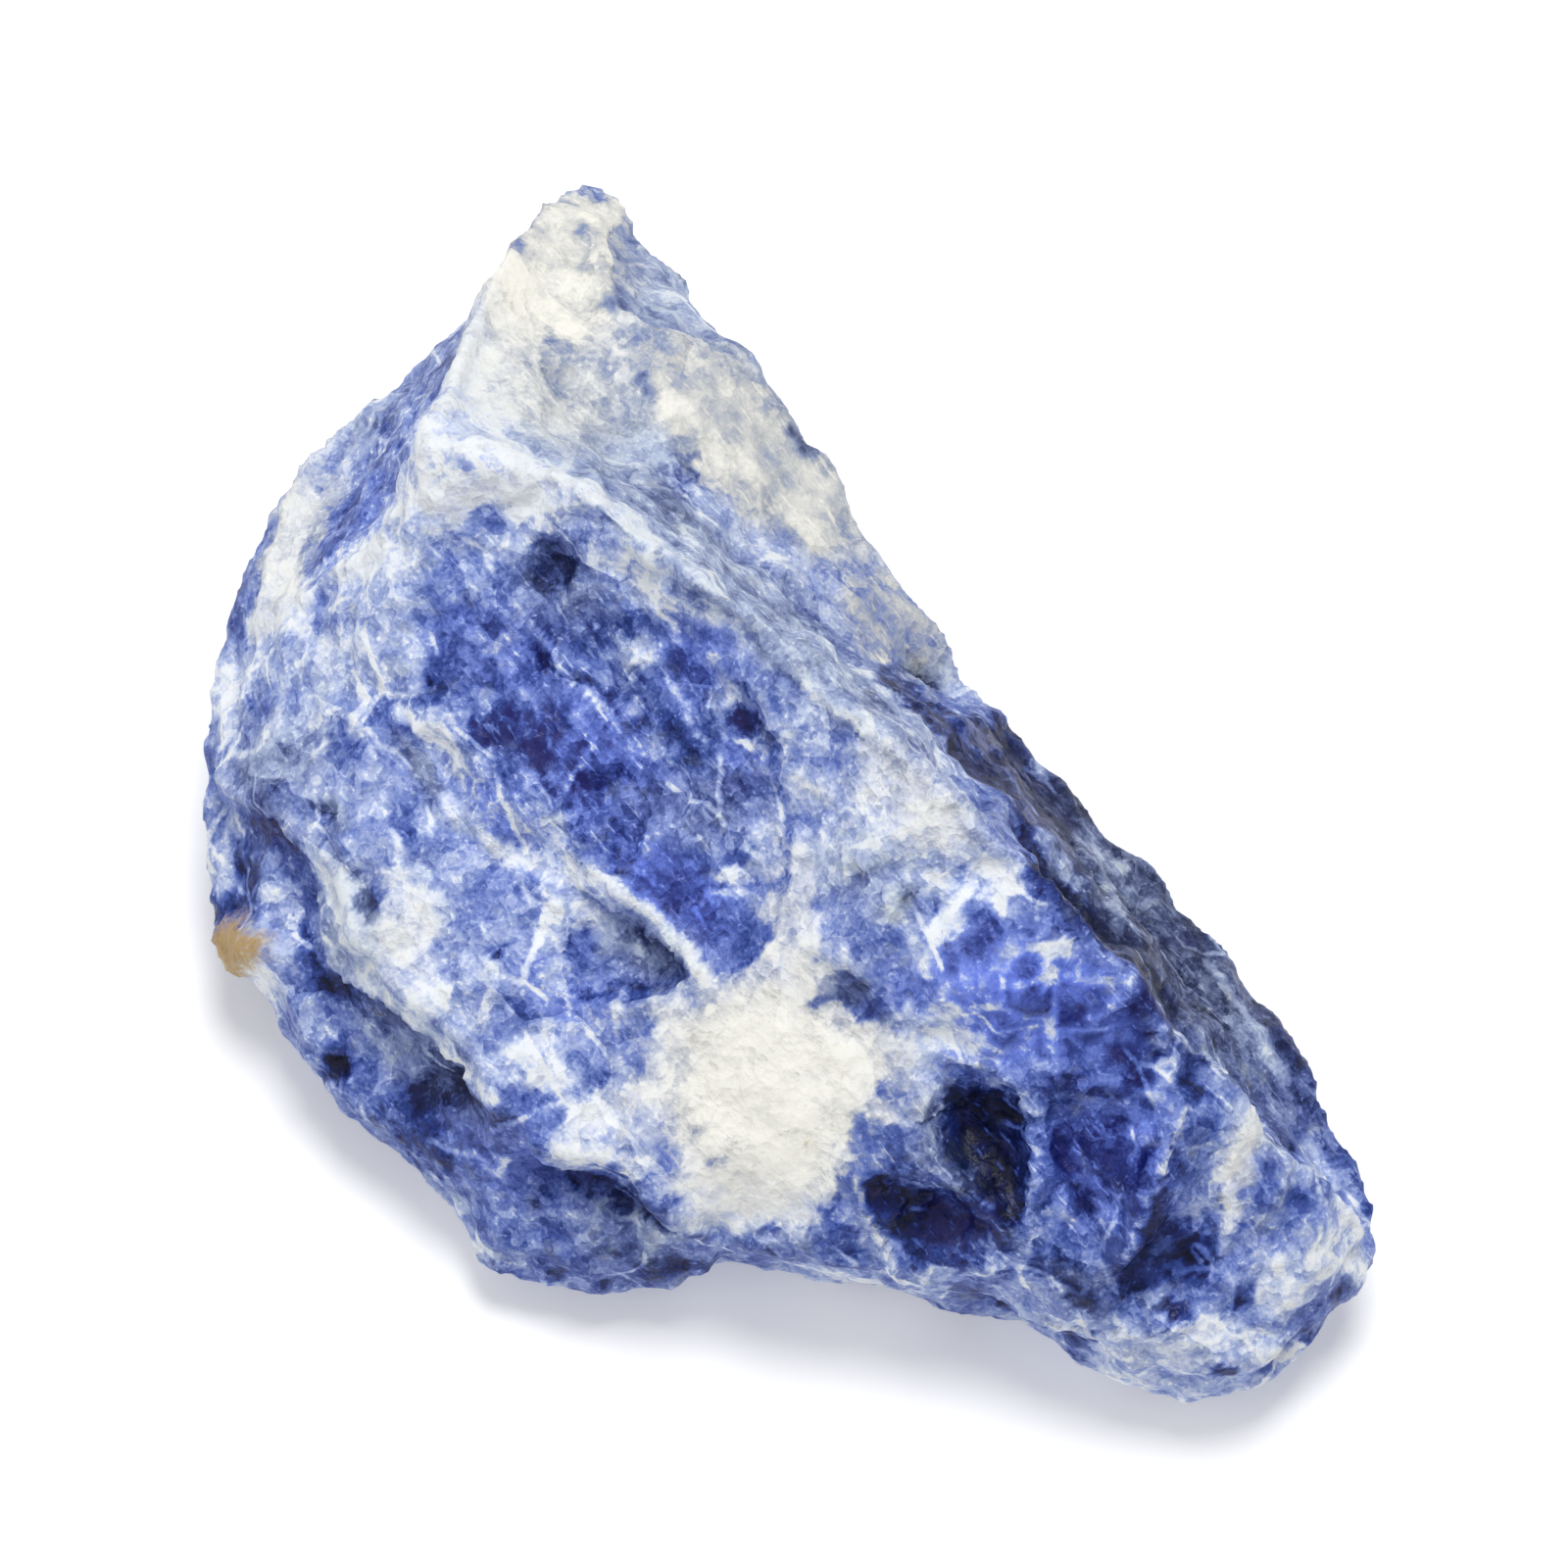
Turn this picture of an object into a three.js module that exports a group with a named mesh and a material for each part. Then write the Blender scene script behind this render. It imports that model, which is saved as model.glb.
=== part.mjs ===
// A piece of rough sodalite, about 62 mm from its pale tip to its blunt end, lying on a small broken flat.
// Millimetres, +Z up, origin on the table under the middle of the stone's box.
//
// The stone is one solid. Its broken faces meet at ridges, ledges and a rim, which are drawn first as named
// lines. Each face is then filled with small triangles, pulled hollow or swelled as such a break is, and
// chipped into flats. Last of all the whole skin is given its grain.
import * as THREE from "three";
import { mergeVertices } from "three/addons/utils/BufferGeometryUtils.js";

// ---- driving dimensions, mm ----
const viewElevation = THREE.MathUtils.degToRad(68); // the lines are given as seen from this high above
const meshSpacing = 1.05; // length of a triangle's side
const chipSize = 4.6; // distance between the corners of the flats on a broken face
const chipRise = 0.8; // the most that such a corner stands out or in
const lumpSize = 3.2; // grain of the skin: wider lumps, then finer ones
const lumpRise = 0.16;
const grainSize = 1.7;
const grainRise = 0.14;
const footHeight = 3; // below this the grain dies away towards the flat spot
const footGap = 0.05; // what isn't the flat spot stays at least this far above the table

// ---- corners, where ridges meet: [right, up, height above the table], seen from viewElevation ----
const corners = {
  // on the outline
  tip: [-10.1, 27.5, 12.8],
  rimMiddle: [1.9, 15.1, 12.6],
  shelfEnd: [8.2, 5.0, 10.6],
  grooveEnd: [10.0, 3.1, 10],
  sideMiddle: [19.5, -7.2, 7.8],
  bluntEnd: [27.0, -21.8, 5.8],
  toe: [19.3, -27.9, 4],
  footMiddle: [7.0, -23.4, 4.6],
  notch: [-2.9, -21.4, 6.6],
  lobe: [-13.7, -22.0, 3.1],
  wallMiddle: [-21.6, -13.6, 3.8],
  leftBend: [-26.8, 1.7, 7.2],
  leftTop: [-26.0, 6.4, 8.4],
  heel: [-23.7, 12.3, 9.8],
  backMiddle: [-16.4, 19.8, 12],
  // on the crest and the shelf beside it
  crown: [-16.0, 15.0, 23.4],
  bandStart: [-10.5, 13.8, 24],
  crestMiddle: [4.7, 2.2, 23.9],
  shelfTop: [-8.4, 23.2, 16.4],
  shelfFoot: [2.9, 7.4, 14.4],
  endTop: [21.7, -16.1, 13.6],
  // on the top
  crownFoot: [-16.4, 12.4, 21.5],
  flankFoot: [-23.9, 7.9, 12],
  lipTop: [-17.2, 4.6, 17.6],
  lipMiddle: [-8.2, -4.0, 16.9],
  lipEnd: [-3.1, -8.8, 15.9],
  pocketLeft: [-10.0, -5.6, 15],
  edgeMiddle: [-12.2, -14.8, 11.6],
  edgeEnd: [-5.6, -19.2, 10.2],
  lobeTop: [-14.0, -17.0, 7.8],
  // round the scoops of the lower end
  darkTop: [8.1, -12.4, 16.2],
  darkRight: [11.4, -14.0, 15.9],
  darkMiddle: [6.8, -17.4, 13.4],
  darkLeft: [5.9, -15.4, 14.4],
  ribLow: [10.6, -20.6, 11.6],
  footLeft: [3.4, -17.9, 12.6],
  footLow: [5.5, -22.3, 8.4],
  bladeTop: [17.4, -14.3, 16.4],
  bladeLow: [14.5, -22.6, 10],
  endLow: [20.2, -24.1, 8.6],
  endFoot: [22.4, -25.8, 6.4],
};

// ---- corners of the underside, where nothing is seen from above: [x, y, z] ----
const underCorners = {
  underTip: [-9.4, 19.8, 5.2],
  underRim: [1.0, 8.6, 4.6],
  underStep: [8.6, -2.6, 3.8],
  underSide: [18.2, -12.4, 3.0],
  underEnd: [25.4, -25.2, 2.1],
  underToe: [18.6, -30.6, 1.5],
  underFoot: [6.6, -26.2, 1.9],
  underNotch: [-2.6, -24.8, 2.6],
  underLobe: [-13.0, -24.2, 1.3],
  underWall: [-20.8, -15.4, 1.7],
  underLeft: [-25.6, -1.4, 3.0],
  underBack: [-22.4, 8.2, 4.6],
  flatTip: [-8.0, 5.4, 0],
  flatRim: [-0.8, -2.8, 0],
  flatSide: [6.4, -11.4, 0],
  flatEnd: [12.4, -20.6, 0],
  flatFoot: [3.6, -20.0, 0],
  flatLobe: [-8.2, -18.0, 0],
  flatWall: [-14.0, -9.8, 0],
  flatLeft: [-14.8, 0.2, 0],
};

// ---- lines between corners: ridges, grooves, ledges and the stone's outline ----
const lines = {
  // the outline, round from the tip
  outlineRim: [
    "tip",
    [-9.2, 27.8, 12.2],
    [-8.4, 27.6, 11.8],
    [-7.8, 26.9, 11.6],
    [-7.3, 25.7, 11.5],
    [-6.0, 24.4, 11.4],
    [-5.0, 23.4, 11.2],
    [-4.1, 21.8, 11],
    [-2.6, 19.8, 10.9],
    [-0.9, 18.2, 11],
    [0.6, 16.6, 11.6],
    "rimMiddle",
  ],
  outlineShelf: [
    "rimMiddle",
    [2.9, 13.3, 12.2],
    [3.6, 11.3, 11.9],
    [4.9, 9.5, 11.6],
    [6.5, 7.6, 11.3],
    [7.7, 6.2, 11],
    "shelfEnd",
  ],
  outlineStep: ["shelfEnd", "grooveEnd"],
  outlineSide: ["grooveEnd", [12.7, 0.0, 9.4], [15.4, -2.9, 8.8], [17.5, -5.0, 8.3], "sideMiddle"],
  outlineBlunt: [
    "sideMiddle",
    [21.2, -9.3, 7.4],
    [22.8, -11.3, 7],
    [24.1, -13.6, 6.6],
    [25.3, -16.1, 6.2],
    [26.4, -18.2, 5.9],
    [27.0, -20.2, 5.8],
    "bluntEnd",
  ],
  outlineToe: [
    "bluntEnd",
    [26.2, -23.2, 5],
    [24.9, -24.5, 4.6],
    [23.7, -26.0, 4.3],
    [22.5, -27.0, 4.1],
    [21.0, -27.7, 4],
    "toe",
  ],
  outlineFoot: [
    "toe",
    [17.0, -27.6, 4],
    [15.1, -26.9, 4.1],
    [13.4, -25.8, 4.3],
    [11.8, -24.7, 4.4],
    [9.6, -23.9, 4.5],
    "footMiddle",
  ],
  outlineNotch: ["footMiddle", [3.8, -22.9, 5], [0.6, -22.3, 5.6], "notch"],
  outlineLobe: [
    "notch",
    [-3.6, -22.4, 4.8],
    [-4.9, -23.2, 3.9],
    [-6.6, -23.5, 3.2],
    [-8.3, -23.4, 3],
    [-10.2, -23.1, 3],
    [-12.2, -22.8, 3],
    "lobe",
  ],
  outlineWall: [
    "lobe",
    [-14.6, -20.4, 3.4],
    [-15.5, -18.8, 3.6],
    [-16.6, -17.5, 3.6],
    [-18.6, -16.3, 3.6],
    [-20.2, -15.0, 3.6],
    "wallMiddle",
  ],
  outlineLeft: [
    "wallMiddle",
    [-22.8, -12.0, 4],
    [-23.9, -9.8, 4.3],
    [-25.2, -8.2, 4.6],
    [-26.0, -6.4, 5],
    [-26.6, -3.8, 5.6],
    [-26.8, -1.0, 6.4],
    "leftBend",
  ],
  outlineBend: ["leftBend", [-26.5, 4.1, 7.8], "leftTop"],
  outlineHeel: ["leftTop", [-25.5, 8.4, 9], [-24.8, 10.2, 9.4], "heel"],
  outlineBack: [
    "heel",
    [-22.3, 14.3, 10.4],
    [-20.9, 16.1, 10.9],
    [-19.5, 17.5, 11.3],
    [-17.8, 18.6, 11.7],
    "backMiddle",
  ],
  outlineTip: ["backMiddle", [-14.8, 21.6, 12.2], [-12.9, 23.8, 12.6], [-11.2, 26.2, 12.7], "tip"],
  // the crest, from the tip over the crown to the blunt end
  tipCrest: [
    "tip",
    [-11.1, 26.9, 14.6],
    [-12.1, 25.4, 16.4],
    [-13.1, 23.6, 18],
    [-14.0, 21.6, 19.3],
    [-14.8, 19.2, 20.8],
    [-15.6, 16.8, 22.4],
    "crown",
  ],
  crownRidge: ["crown", [-13.4, 14.2, 23.9], "bandStart"],
  crest: [
    "bandStart",
    [-8.1, 12.2, 24.4],
    [-5.8, 10.4, 24.6],
    [-3.2, 8.6, 24.6],
    [-0.6, 6.9, 24.5],
    [1.9, 4.9, 24.3],
    "crestMiddle",
  ],
  crestFall: [
    "crestMiddle",
    [7.0, 0.0, 23.4],
    [9.3, -2.0, 22.8],
    [10.8, -3.8, 22],
    [12.4, -5.5, 21],
    [14.2, -7.4, 19.8],
    [15.9, -9.3, 18.5],
    [17.0, -11.0, 17.6],
    [18.9, -12.3, 16.2],
    [20.5, -14.1, 14.8],
    "endTop",
  ],
  crestEnd: ["endTop", [23.8, -17.9, 11.4], [26.0, -19.9, 8.4], "bluntEnd"],
  // the pale shelf and its rim, right of the crest
  rimTop: ["tip", [-9.1, 26.5, 14.6], [-8.6, 25.0, 15.7], "shelfTop"],
  rimLine: [
    "shelfTop",
    [-6.4, 21.4, 16.7],
    [-3.8, 19.6, 16.3],
    [-2.0, 17.8, 15.7],
    [-0.1, 16.2, 14.6],
    "rimMiddle",
  ],
  shelfLine: [
    "shelfTop",
    [-7.3, 21.0, 17.3],
    [-5.8, 18.4, 17.4],
    [-4.5, 16.0, 17.2],
    [-2.7, 13.6, 16.6],
    [-0.5, 11.2, 15.8],
    "shelfFoot",
  ],
  groove: [
    "bandStart",
    [-8.4, 13.8, 22.3],
    [-6.1, 12.7, 20.8],
    [-3.8, 11.2, 19.3],
    [-1.7, 9.8, 17.8],
    [0.6, 8.5, 16],
    "shelfFoot",
  ],
  grooveFall: ["shelfFoot", [5.4, 5.5, 12.2], [7.6, 4.1, 10.8], "grooveEnd"],
  bandEnd: ["crestMiddle", [7.2, 2.1, 18.2], [8.6, 2.6, 14], "grooveEnd"],
  sideStep: [
    "grooveEnd",
    [11.7, 0.2, 10.4],
    [14.2, -3.3, 10.1],
    [16.8, -6.5, 9.8],
    [19.5, -10.1, 9.2],
    [21.8, -13.4, 8.5],
    [23.9, -16.7, 7.6],
    "bluntEnd",
  ],
  // left of the crest
  crownFall: ["crown", "crownFoot"],
  flankCrest: ["crownFoot", [-17.7, 10.9, 19.4], [-20.6, 9.7, 15.8], "flankFoot"],
  flankEnd: ["flankFoot", "leftTop"],
  flankBreak: ["heel", [-24.0, 9.9, 11.4], "flankFoot"],
  lipUp: ["crownFoot", [-17.0, 8.6, 19.4], "lipTop"],
  lip: [
    "lipTop",
    [-15.9, 3.0, 17.6],
    [-14.1, 1.5, 17.7],
    [-12.0, 0.0, 17.6],
    [-10.1, -2.0, 17.3],
    "lipMiddle",
  ],
  lipFall: ["lipMiddle", [-6.3, -5.5, 16.6], [-4.5, -7.0, 16.3], "lipEnd"],
  lipLow: [
    "lipTop",
    [-16.8, 2.0, 16.2],
    [-15.7, -0.6, 15.5],
    [-13.9, -2.4, 15.3],
    [-11.9, -4.1, 15.1],
    "pocketLeft",
  ],
  lipStep: ["lipMiddle", "pocketLeft"],
  pocketEdge: [
    "pocketLeft",
    [-10.3, -7.7, 14.2],
    [-9.6, -9.6, 13.7],
    [-7.6, -10.4, 13.9],
    [-5.0, -10.1, 14.9],
    "lipEnd",
  ],
  sweep: [
    "lipEnd",
    [-1.3, -7.7, 16.7],
    [0.0, -5.8, 18],
    [0.9, -3.8, 19.4],
    [1.4, -1.9, 20.8],
    [2.6, 0.0, 22.4],
    "crestMiddle",
  ],
  patchLine: ["lipEnd", [-3.9, -11.4, 14.6], [-4.9, -14.0, 13.1], [-5.6, -16.6, 11.8], "edgeEnd"],
  // the scoops of the lower end
  darkRim: ["darkTop", [9.8, -12.7, 16.2], "darkRight"],
  darkSide: ["darkRight", [11.8, -16.3, 14.6], [11.6, -18.6, 13], "ribLow"],
  rib: ["ribLow", [9.0, -19.2, 12.4], "darkMiddle"],
  darkEdge: ["darkMiddle", "darkLeft"],
  darkBack: ["darkLeft", [6.7, -13.8, 15.4], "darkTop"],
  footTop: ["darkMiddle", [5.1, -17.4, 13.2], "footLeft"],
  footSide: ["footLeft", [4.1, -19.8, 11], "footLow"],
  ribFall: ["footLow", [7.8, -21.5, 9.8], "ribLow"],
  bladeStart: ["darkRight", [14.3, -13.9, 16.3], "bladeTop"],
  blade: ["bladeTop", [16.9, -17.2, 15.2], [16.1, -20.0, 12.9], "bladeLow"],
  bladeFoot: ["bladeLow", [12.4, -22.1, 10.2], "ribLow"],
  endRim: ["bladeTop", [19.3, -15.3, 15.2], "endTop"],
  endEdge: ["endTop", [21.2, -18.6, 12.6], [20.8, -21.2, 10.8], "endLow"],
  bladeFall: ["endLow", [17.3, -24.6, 8.7], "bladeLow"],
  endFall: ["endLow", "endFoot"],
  // the lower edge of the top, the ledge below it and the foot
  edge: [
    "leftBend",
    [-26.0, -0.3, 9.4],
    [-23.9, -1.2, 11.6],
    [-22.4, -2.3, 12.6],
    [-21.5, -3.8, 13],
    [-20.9, -5.8, 13.2],
    [-20.4, -7.7, 13.2],
    [-19.1, -9.3, 13],
    [-17.3, -10.6, 12.7],
    [-15.4, -12.2, 12.3],
    [-13.7, -13.7, 11.9],
    "edgeMiddle",
  ],
  edgeRight: ["edgeMiddle", [-10.6, -16.6, 11], [-8.3, -17.3, 11], [-7.0, -17.9, 10.8], "edgeEnd"],
  edgeFall: ["edgeEnd", [-4.2, -20.4, 8.6], "notch"],
  lobeRib: ["edgeMiddle", [-13.3, -16.0, 9.9], "lobeTop"],
  ledge: [
    "leftBend",
    [-25.9, -1.9, 7.6],
    [-25.0, -4.9, 8.1],
    [-23.7, -8.0, 8.2],
    [-21.9, -10.6, 7.9],
    [-19.5, -12.8, 7.3],
    [-16.6, -15.0, 7.2],
    "lobeTop",
  ],
  ledgeRight: ["lobeTop", [-11.1, -19.0, 7.2], [-8.1, -20.4, 6.9], [-5.1, -21.0, 6.8], "notch"],
  footLine: ["notch", [0.0, -21.3, 8.4], [2.9, -21.9, 8.6], "footLow"],
  footRight: [
    "footLow",
    [9.6, -23.0, 8],
    [12.2, -24.0, 7.6],
    [14.7, -25.3, 7],
    [17.3, -26.3, 6.6],
    [19.8, -26.7, 6.4],
    "endFoot",
  ],
  footEnd: ["endFoot", [24.8, -24.1, 6.3], "bluntEnd"],
  // from the outline in to the belly
  dropTip: ["tip", [-9.8, 25.6, 9.6], "underTip"],
  dropRim: ["rimMiddle", [1.6, 13.2, 9], "underRim"],
  dropStep: ["grooveEnd", "underStep"],
  dropSide: ["sideMiddle", "underSide"],
  dropBlunt: ["bluntEnd", "underEnd"],
  dropToe: ["toe", "underToe"],
  dropFoot: ["footMiddle", "underFoot"],
  dropNotch: ["notch", "underNotch"],
  dropLobe: ["lobe", "underLobe"],
  dropWall: ["wallMiddle", "underWall"],
  dropLeft: ["leftBend", "underLeft"],
  dropBack: ["heel", "underBack"],
  // round the belly
  bellyRim: ["underTip", "underRim"],
  bellyStep: ["underRim", "underStep"],
  bellySide: ["underStep", "underSide"],
  bellyEnd: ["underSide", "underEnd"],
  bellyToe: ["underEnd", "underToe"],
  bellyFoot: ["underToe", "underFoot"],
  bellyNotch: ["underFoot", "underNotch"],
  bellyLobe: ["underNotch", "underLobe"],
  bellyWall: ["underLobe", "underWall"],
  bellyLeft: ["underWall", "underLeft"],
  bellyBack: ["underLeft", "underBack"],
  bellyTip: ["underBack", "underTip"],
  // from the belly in to the flat spot
  inTip: ["underTip", "flatTip"],
  inRim: ["underRim", "flatRim"],
  inStep: ["underStep", "flatRim"],
  inSide: ["underSide", "flatSide"],
  inEnd: ["underEnd", "flatEnd"],
  inToe: ["underToe", "flatEnd"],
  inFoot: ["underFoot", "flatFoot"],
  inNotch: ["underNotch", "flatFoot"],
  inLobe: ["underLobe", "flatLobe"],
  inWall: ["underWall", "flatWall"],
  inLeft: ["underLeft", "flatLeft"],
  inBack: ["underBack", "flatLeft"],
  // round the flat spot
  flatA: ["flatTip", "flatRim"],
  flatB: ["flatRim", "flatSide"],
  flatC: ["flatSide", "flatEnd"],
  flatD: ["flatEnd", "flatFoot"],
  flatE: ["flatFoot", "flatLobe"],
  flatF: ["flatLobe", "flatWall"],
  flatG: ["flatWall", "flatLeft"],
  flatH: ["flatLeft", "flatTip"],
};

// ---- the broken faces: the lines round each, and how far its middle swells (+) or sinks (-), mm ----
const faces = {
  tipFace: { round: ["tipCrest", "crownRidge", "groove", "shelfLine", "rimTop"], swell: -0.7 },
  shelf: { round: ["rimLine", "outlineShelf", "outlineStep", "grooveFall", "shelfLine"], swell: 0.5 },
  rimStrip: { round: ["rimTop", "rimLine", "outlineRim"], swell: 0.2 },
  bandFace: { round: ["crest", "bandEnd", "grooveFall", "groove"], swell: -0.3 },
  sideWall: { round: ["bandEnd", "crestFall", "crestEnd", "sideStep"], swell: -0.5 },
  sideLedge: { round: ["sideStep", "outlineSide", "outlineBlunt"], swell: 0.2 },
  leftFlank: {
    round: ["tipCrest", "crownFall", "flankCrest", "flankBreak", "outlineBack", "outlineTip"],
    swell: -0.6,
  },
  flankSliver: { round: ["flankBreak", "flankEnd", "outlineHeel"], swell: 0.1 },
  blueHollow: {
    round: ["crownRidge", "crest", "sweep", "lipFall", "lip", "lipUp", "crownFall"],
    swell: -1.6,
  },
  lipStrip: { round: ["lip", "lipStep", "lipLow"], swell: -0.1 },
  pocket: { round: ["lipStep", "lipFall", "pocketEdge"], swell: -1 },
  paleFace: {
    round: [
      "lipUp",
      "lipLow",
      "pocketEdge",
      "patchLine",
      "edgeRight",
      "edge",
      "outlineBend",
      "flankEnd",
      "flankCrest",
    ],
    swell: 0.6,
  },
  lowerFace: {
    round: [
      "sweep",
      "crestFall",
      "endRim",
      "bladeStart",
      "darkRim",
      "darkBack",
      "darkEdge",
      "footTop",
      "footSide",
      "footLine",
      "edgeFall",
      "patchLine",
    ],
    swell: 0.8,
  },
  darkScoop: { round: ["darkRim", "darkSide", "rib", "darkEdge", "darkBack"], swell: -1.5 },
  footScoop: { round: ["rib", "footTop", "footSide", "ribFall"], swell: -1.1 },
  bladeScoop: { round: ["bladeStart", "blade", "bladeFoot", "darkSide"], swell: -0.8 },
  endScoop: { round: ["endRim", "endEdge", "bladeFall", "blade"], swell: -0.8 },
  endFace: { round: ["crestEnd", "footEnd", "endFall", "endEdge"], swell: 0.7 },
  toeFace: { round: ["ribFall", "bladeFoot", "bladeFall", "endFall", "footRight"], swell: 0.3 },
  riserLeft: { round: ["edge", "lobeRib", "ledge"], swell: -0.7 },
  riserRight: { round: ["edgeRight", "edgeFall", "ledgeRight", "lobeRib"], swell: -0.5 },
  lowerWall: { round: ["ledge", "ledgeRight", "outlineLobe", "outlineWall", "outlineLeft"], swell: 0.7 },
  footBand: {
    round: ["footLine", "footRight", "footEnd", "outlineToe", "outlineFoot", "outlineNotch"],
    swell: 0.2,
  },
  underRimFace: { round: ["outlineRim", "dropRim", "bellyRim", "dropTip"], swell: -0.5 },
  underShelfFace: {
    round: ["outlineShelf", "outlineStep", "dropStep", "bellyStep", "dropRim"],
    swell: -0.4,
  },
  underSideFace: { round: ["outlineSide", "dropSide", "bellySide", "dropStep"], swell: 0.3 },
  underBluntFace: { round: ["outlineBlunt", "dropBlunt", "bellyEnd", "dropSide"], swell: 0.4 },
  underToeFace: { round: ["outlineToe", "dropToe", "bellyToe", "dropBlunt"], swell: 0.3 },
  underFootFace: { round: ["outlineFoot", "dropFoot", "bellyFoot", "dropToe"], swell: 0.2 },
  underNotchFace: { round: ["outlineNotch", "dropNotch", "bellyNotch", "dropFoot"], swell: -0.3 },
  underLobeFace: { round: ["outlineLobe", "dropLobe", "bellyLobe", "dropNotch"], swell: 0.3 },
  underWallFace: { round: ["outlineWall", "dropWall", "bellyWall", "dropLobe"], swell: 0.2 },
  underLeftFace: { round: ["outlineLeft", "dropLeft", "bellyLeft", "dropWall"], swell: -0.2 },
  underHeelFace: { round: ["outlineBend", "outlineHeel", "dropBack", "bellyBack", "dropLeft"], swell: 0.4 },
  underTipFace: { round: ["outlineBack", "outlineTip", "dropTip", "bellyTip", "dropBack"], swell: -0.4 },
  lowRimFace: { round: ["bellyRim", "inRim", "flatA", "inTip"], swell: 0.5 },
  lowStepFace: { round: ["bellyStep", "inStep", "inRim"], swell: 0.3 },
  lowSideFace: { round: ["bellySide", "inSide", "flatB", "inStep"], swell: 0.4 },
  lowEndFace: { round: ["bellyEnd", "inEnd", "flatC", "inSide"], swell: 0.2 },
  lowToeFace: { round: ["bellyToe", "inToe", "inEnd"], swell: 0.1 },
  lowFootFace: { round: ["bellyFoot", "inFoot", "flatD", "inToe"], swell: 0.2 },
  lowNotchFace: { round: ["bellyNotch", "inNotch", "inFoot"], swell: 0.1 },
  lowLobeFace: { round: ["bellyLobe", "inLobe", "flatE", "inNotch"], swell: 0.1 },
  lowWallFace: { round: ["bellyWall", "inWall", "flatF", "inLobe"], swell: 0.1 },
  lowLeftFace: { round: ["bellyLeft", "inLeft", "flatG", "inWall"], swell: 0.2 },
  lowBackFace: { round: ["bellyBack", "inBack", "inLeft"], swell: 0.2 },
  lowTipFace: { round: ["bellyTip", "inTip", "flatH", "inBack"], swell: 0.5 },
  flatSpot: { round: ["flatA", "flatB", "flatC", "flatD", "flatE", "flatF", "flatG", "flatH"], swell: 0 },
};

// A point given as seen from viewElevation, in the part's own axes.
function seen([right, up, height]) {
  const y = (up - height * Math.cos(viewElevation)) / Math.sin(viewElevation);
  return new THREE.Vector3(right, y, height);
}

function cornerPoint(name) {
  if (name in corners) return seen(corners[name]);
  return new THREE.Vector3(...underCorners[name]);
}

// ---- seeded noise, the same on every run ----
function hash(x, y, z, seed) {
  let h = Math.imul(x, 374761393) + Math.imul(y, 668265263);
  h += Math.imul(z, 2147483647) + Math.imul(seed, 1274126177);
  h = Math.imul(h ^ (h >>> 13), 1103515245);
  h = Math.imul(h ^ (h >>> 16), 2246822519);
  return ((h ^ (h >>> 15)) >>> 0) / 4294967295;
}

// Smooth lumps between -1 and 1.
function lumps(point, size, seed) {
  const q = point.clone().divideScalar(size);
  const home = q.clone().floor();
  const f = q.clone().sub(home);
  const ease = (t) => t * t * (3 - 2 * t);
  const [u, v, w] = [ease(f.x), ease(f.y), ease(f.z)];
  let sum = 0;
  for (let i = 0; i <= 1; i++)
    for (let j = 0; j <= 1; j++)
      for (let k = 0; k <= 1; k++) {
        const weight = (i ? u : 1 - u) * (j ? v : 1 - v) * (k ? w : 1 - w);
        sum += weight * hash(home.x + i, home.y + j, home.z + k, seed);
      }
  return 2 * sum - 1;
}

// ---- a line as evenly spaced points, the same for both faces that share it ----
function spaced(entries) {
  const path = entries.map((entry) => (typeof entry === "string" ? cornerPoint(entry) : seen(entry)));
  const points = [path[0]];
  for (let i = 1; i < path.length; i++) {
    const [from, to] = [path[i - 1], path[i]];
    const steps = Math.max(1, Math.round(from.distanceTo(to) / meshSpacing));
    for (let s = 1; s <= steps; s++) points.push(from.clone().lerp(to, s / steps));
  }
  return points;
}

const drawn = Object.fromEntries(Object.entries(lines).map(([name, entries]) => [name, spaced(entries)]));
const samePlace = (a, b) => a.distanceToSquared(b) < 1e-9;

// Joins the lines round a face end to end, turning those that run the other way.
function chain(names) {
  const left = names.map((name) => drawn[name]);
  const loop = [...left.shift()];
  while (left.length) {
    const end = loop[loop.length - 1];
    const next = left.findIndex((line) => samePlace(line[0], end) || samePlace(line[line.length - 1], end));
    if (next < 0) throw new Error("the lines round a face don't meet: " + names.join(", "));
    const line = left.splice(next, 1)[0];
    loop.push(...(samePlace(line[0], end) ? line : [...line].reverse()).slice(1));
  }
  if (!samePlace(loop[0], loop.pop()))
    throw new Error("the lines round a face don't close: " + names.join(", "));
  return loop;
}

// ---- flat geometry ----
function newellNormal(loop) {
  const normal = new THREE.Vector3();
  loop.forEach((a, i) => {
    const b = loop[(i + 1) % loop.length];
    normal.x += (a.y - b.y) * (a.z + b.z);
    normal.y += (a.z - b.z) * (a.x + b.x);
    normal.z += (a.x - b.x) * (a.y + b.y);
  });
  return normal.normalize();
}

function inside([x, y], outline) {
  let odd = false;
  outline.forEach(([ax, ay], i) => {
    const [bx, by] = outline[(i + 1) % outline.length];
    if (ay > y !== by > y && x < ax + ((bx - ax) * (y - ay)) / (by - ay)) odd = !odd;
  });
  return odd;
}

const gap = ([ax, ay], [bx, by]) => Math.hypot(ax - bx, ay - by);
const clear = (point, others, distance) => others.every((other) => gap(point, other) > distance);

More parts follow.
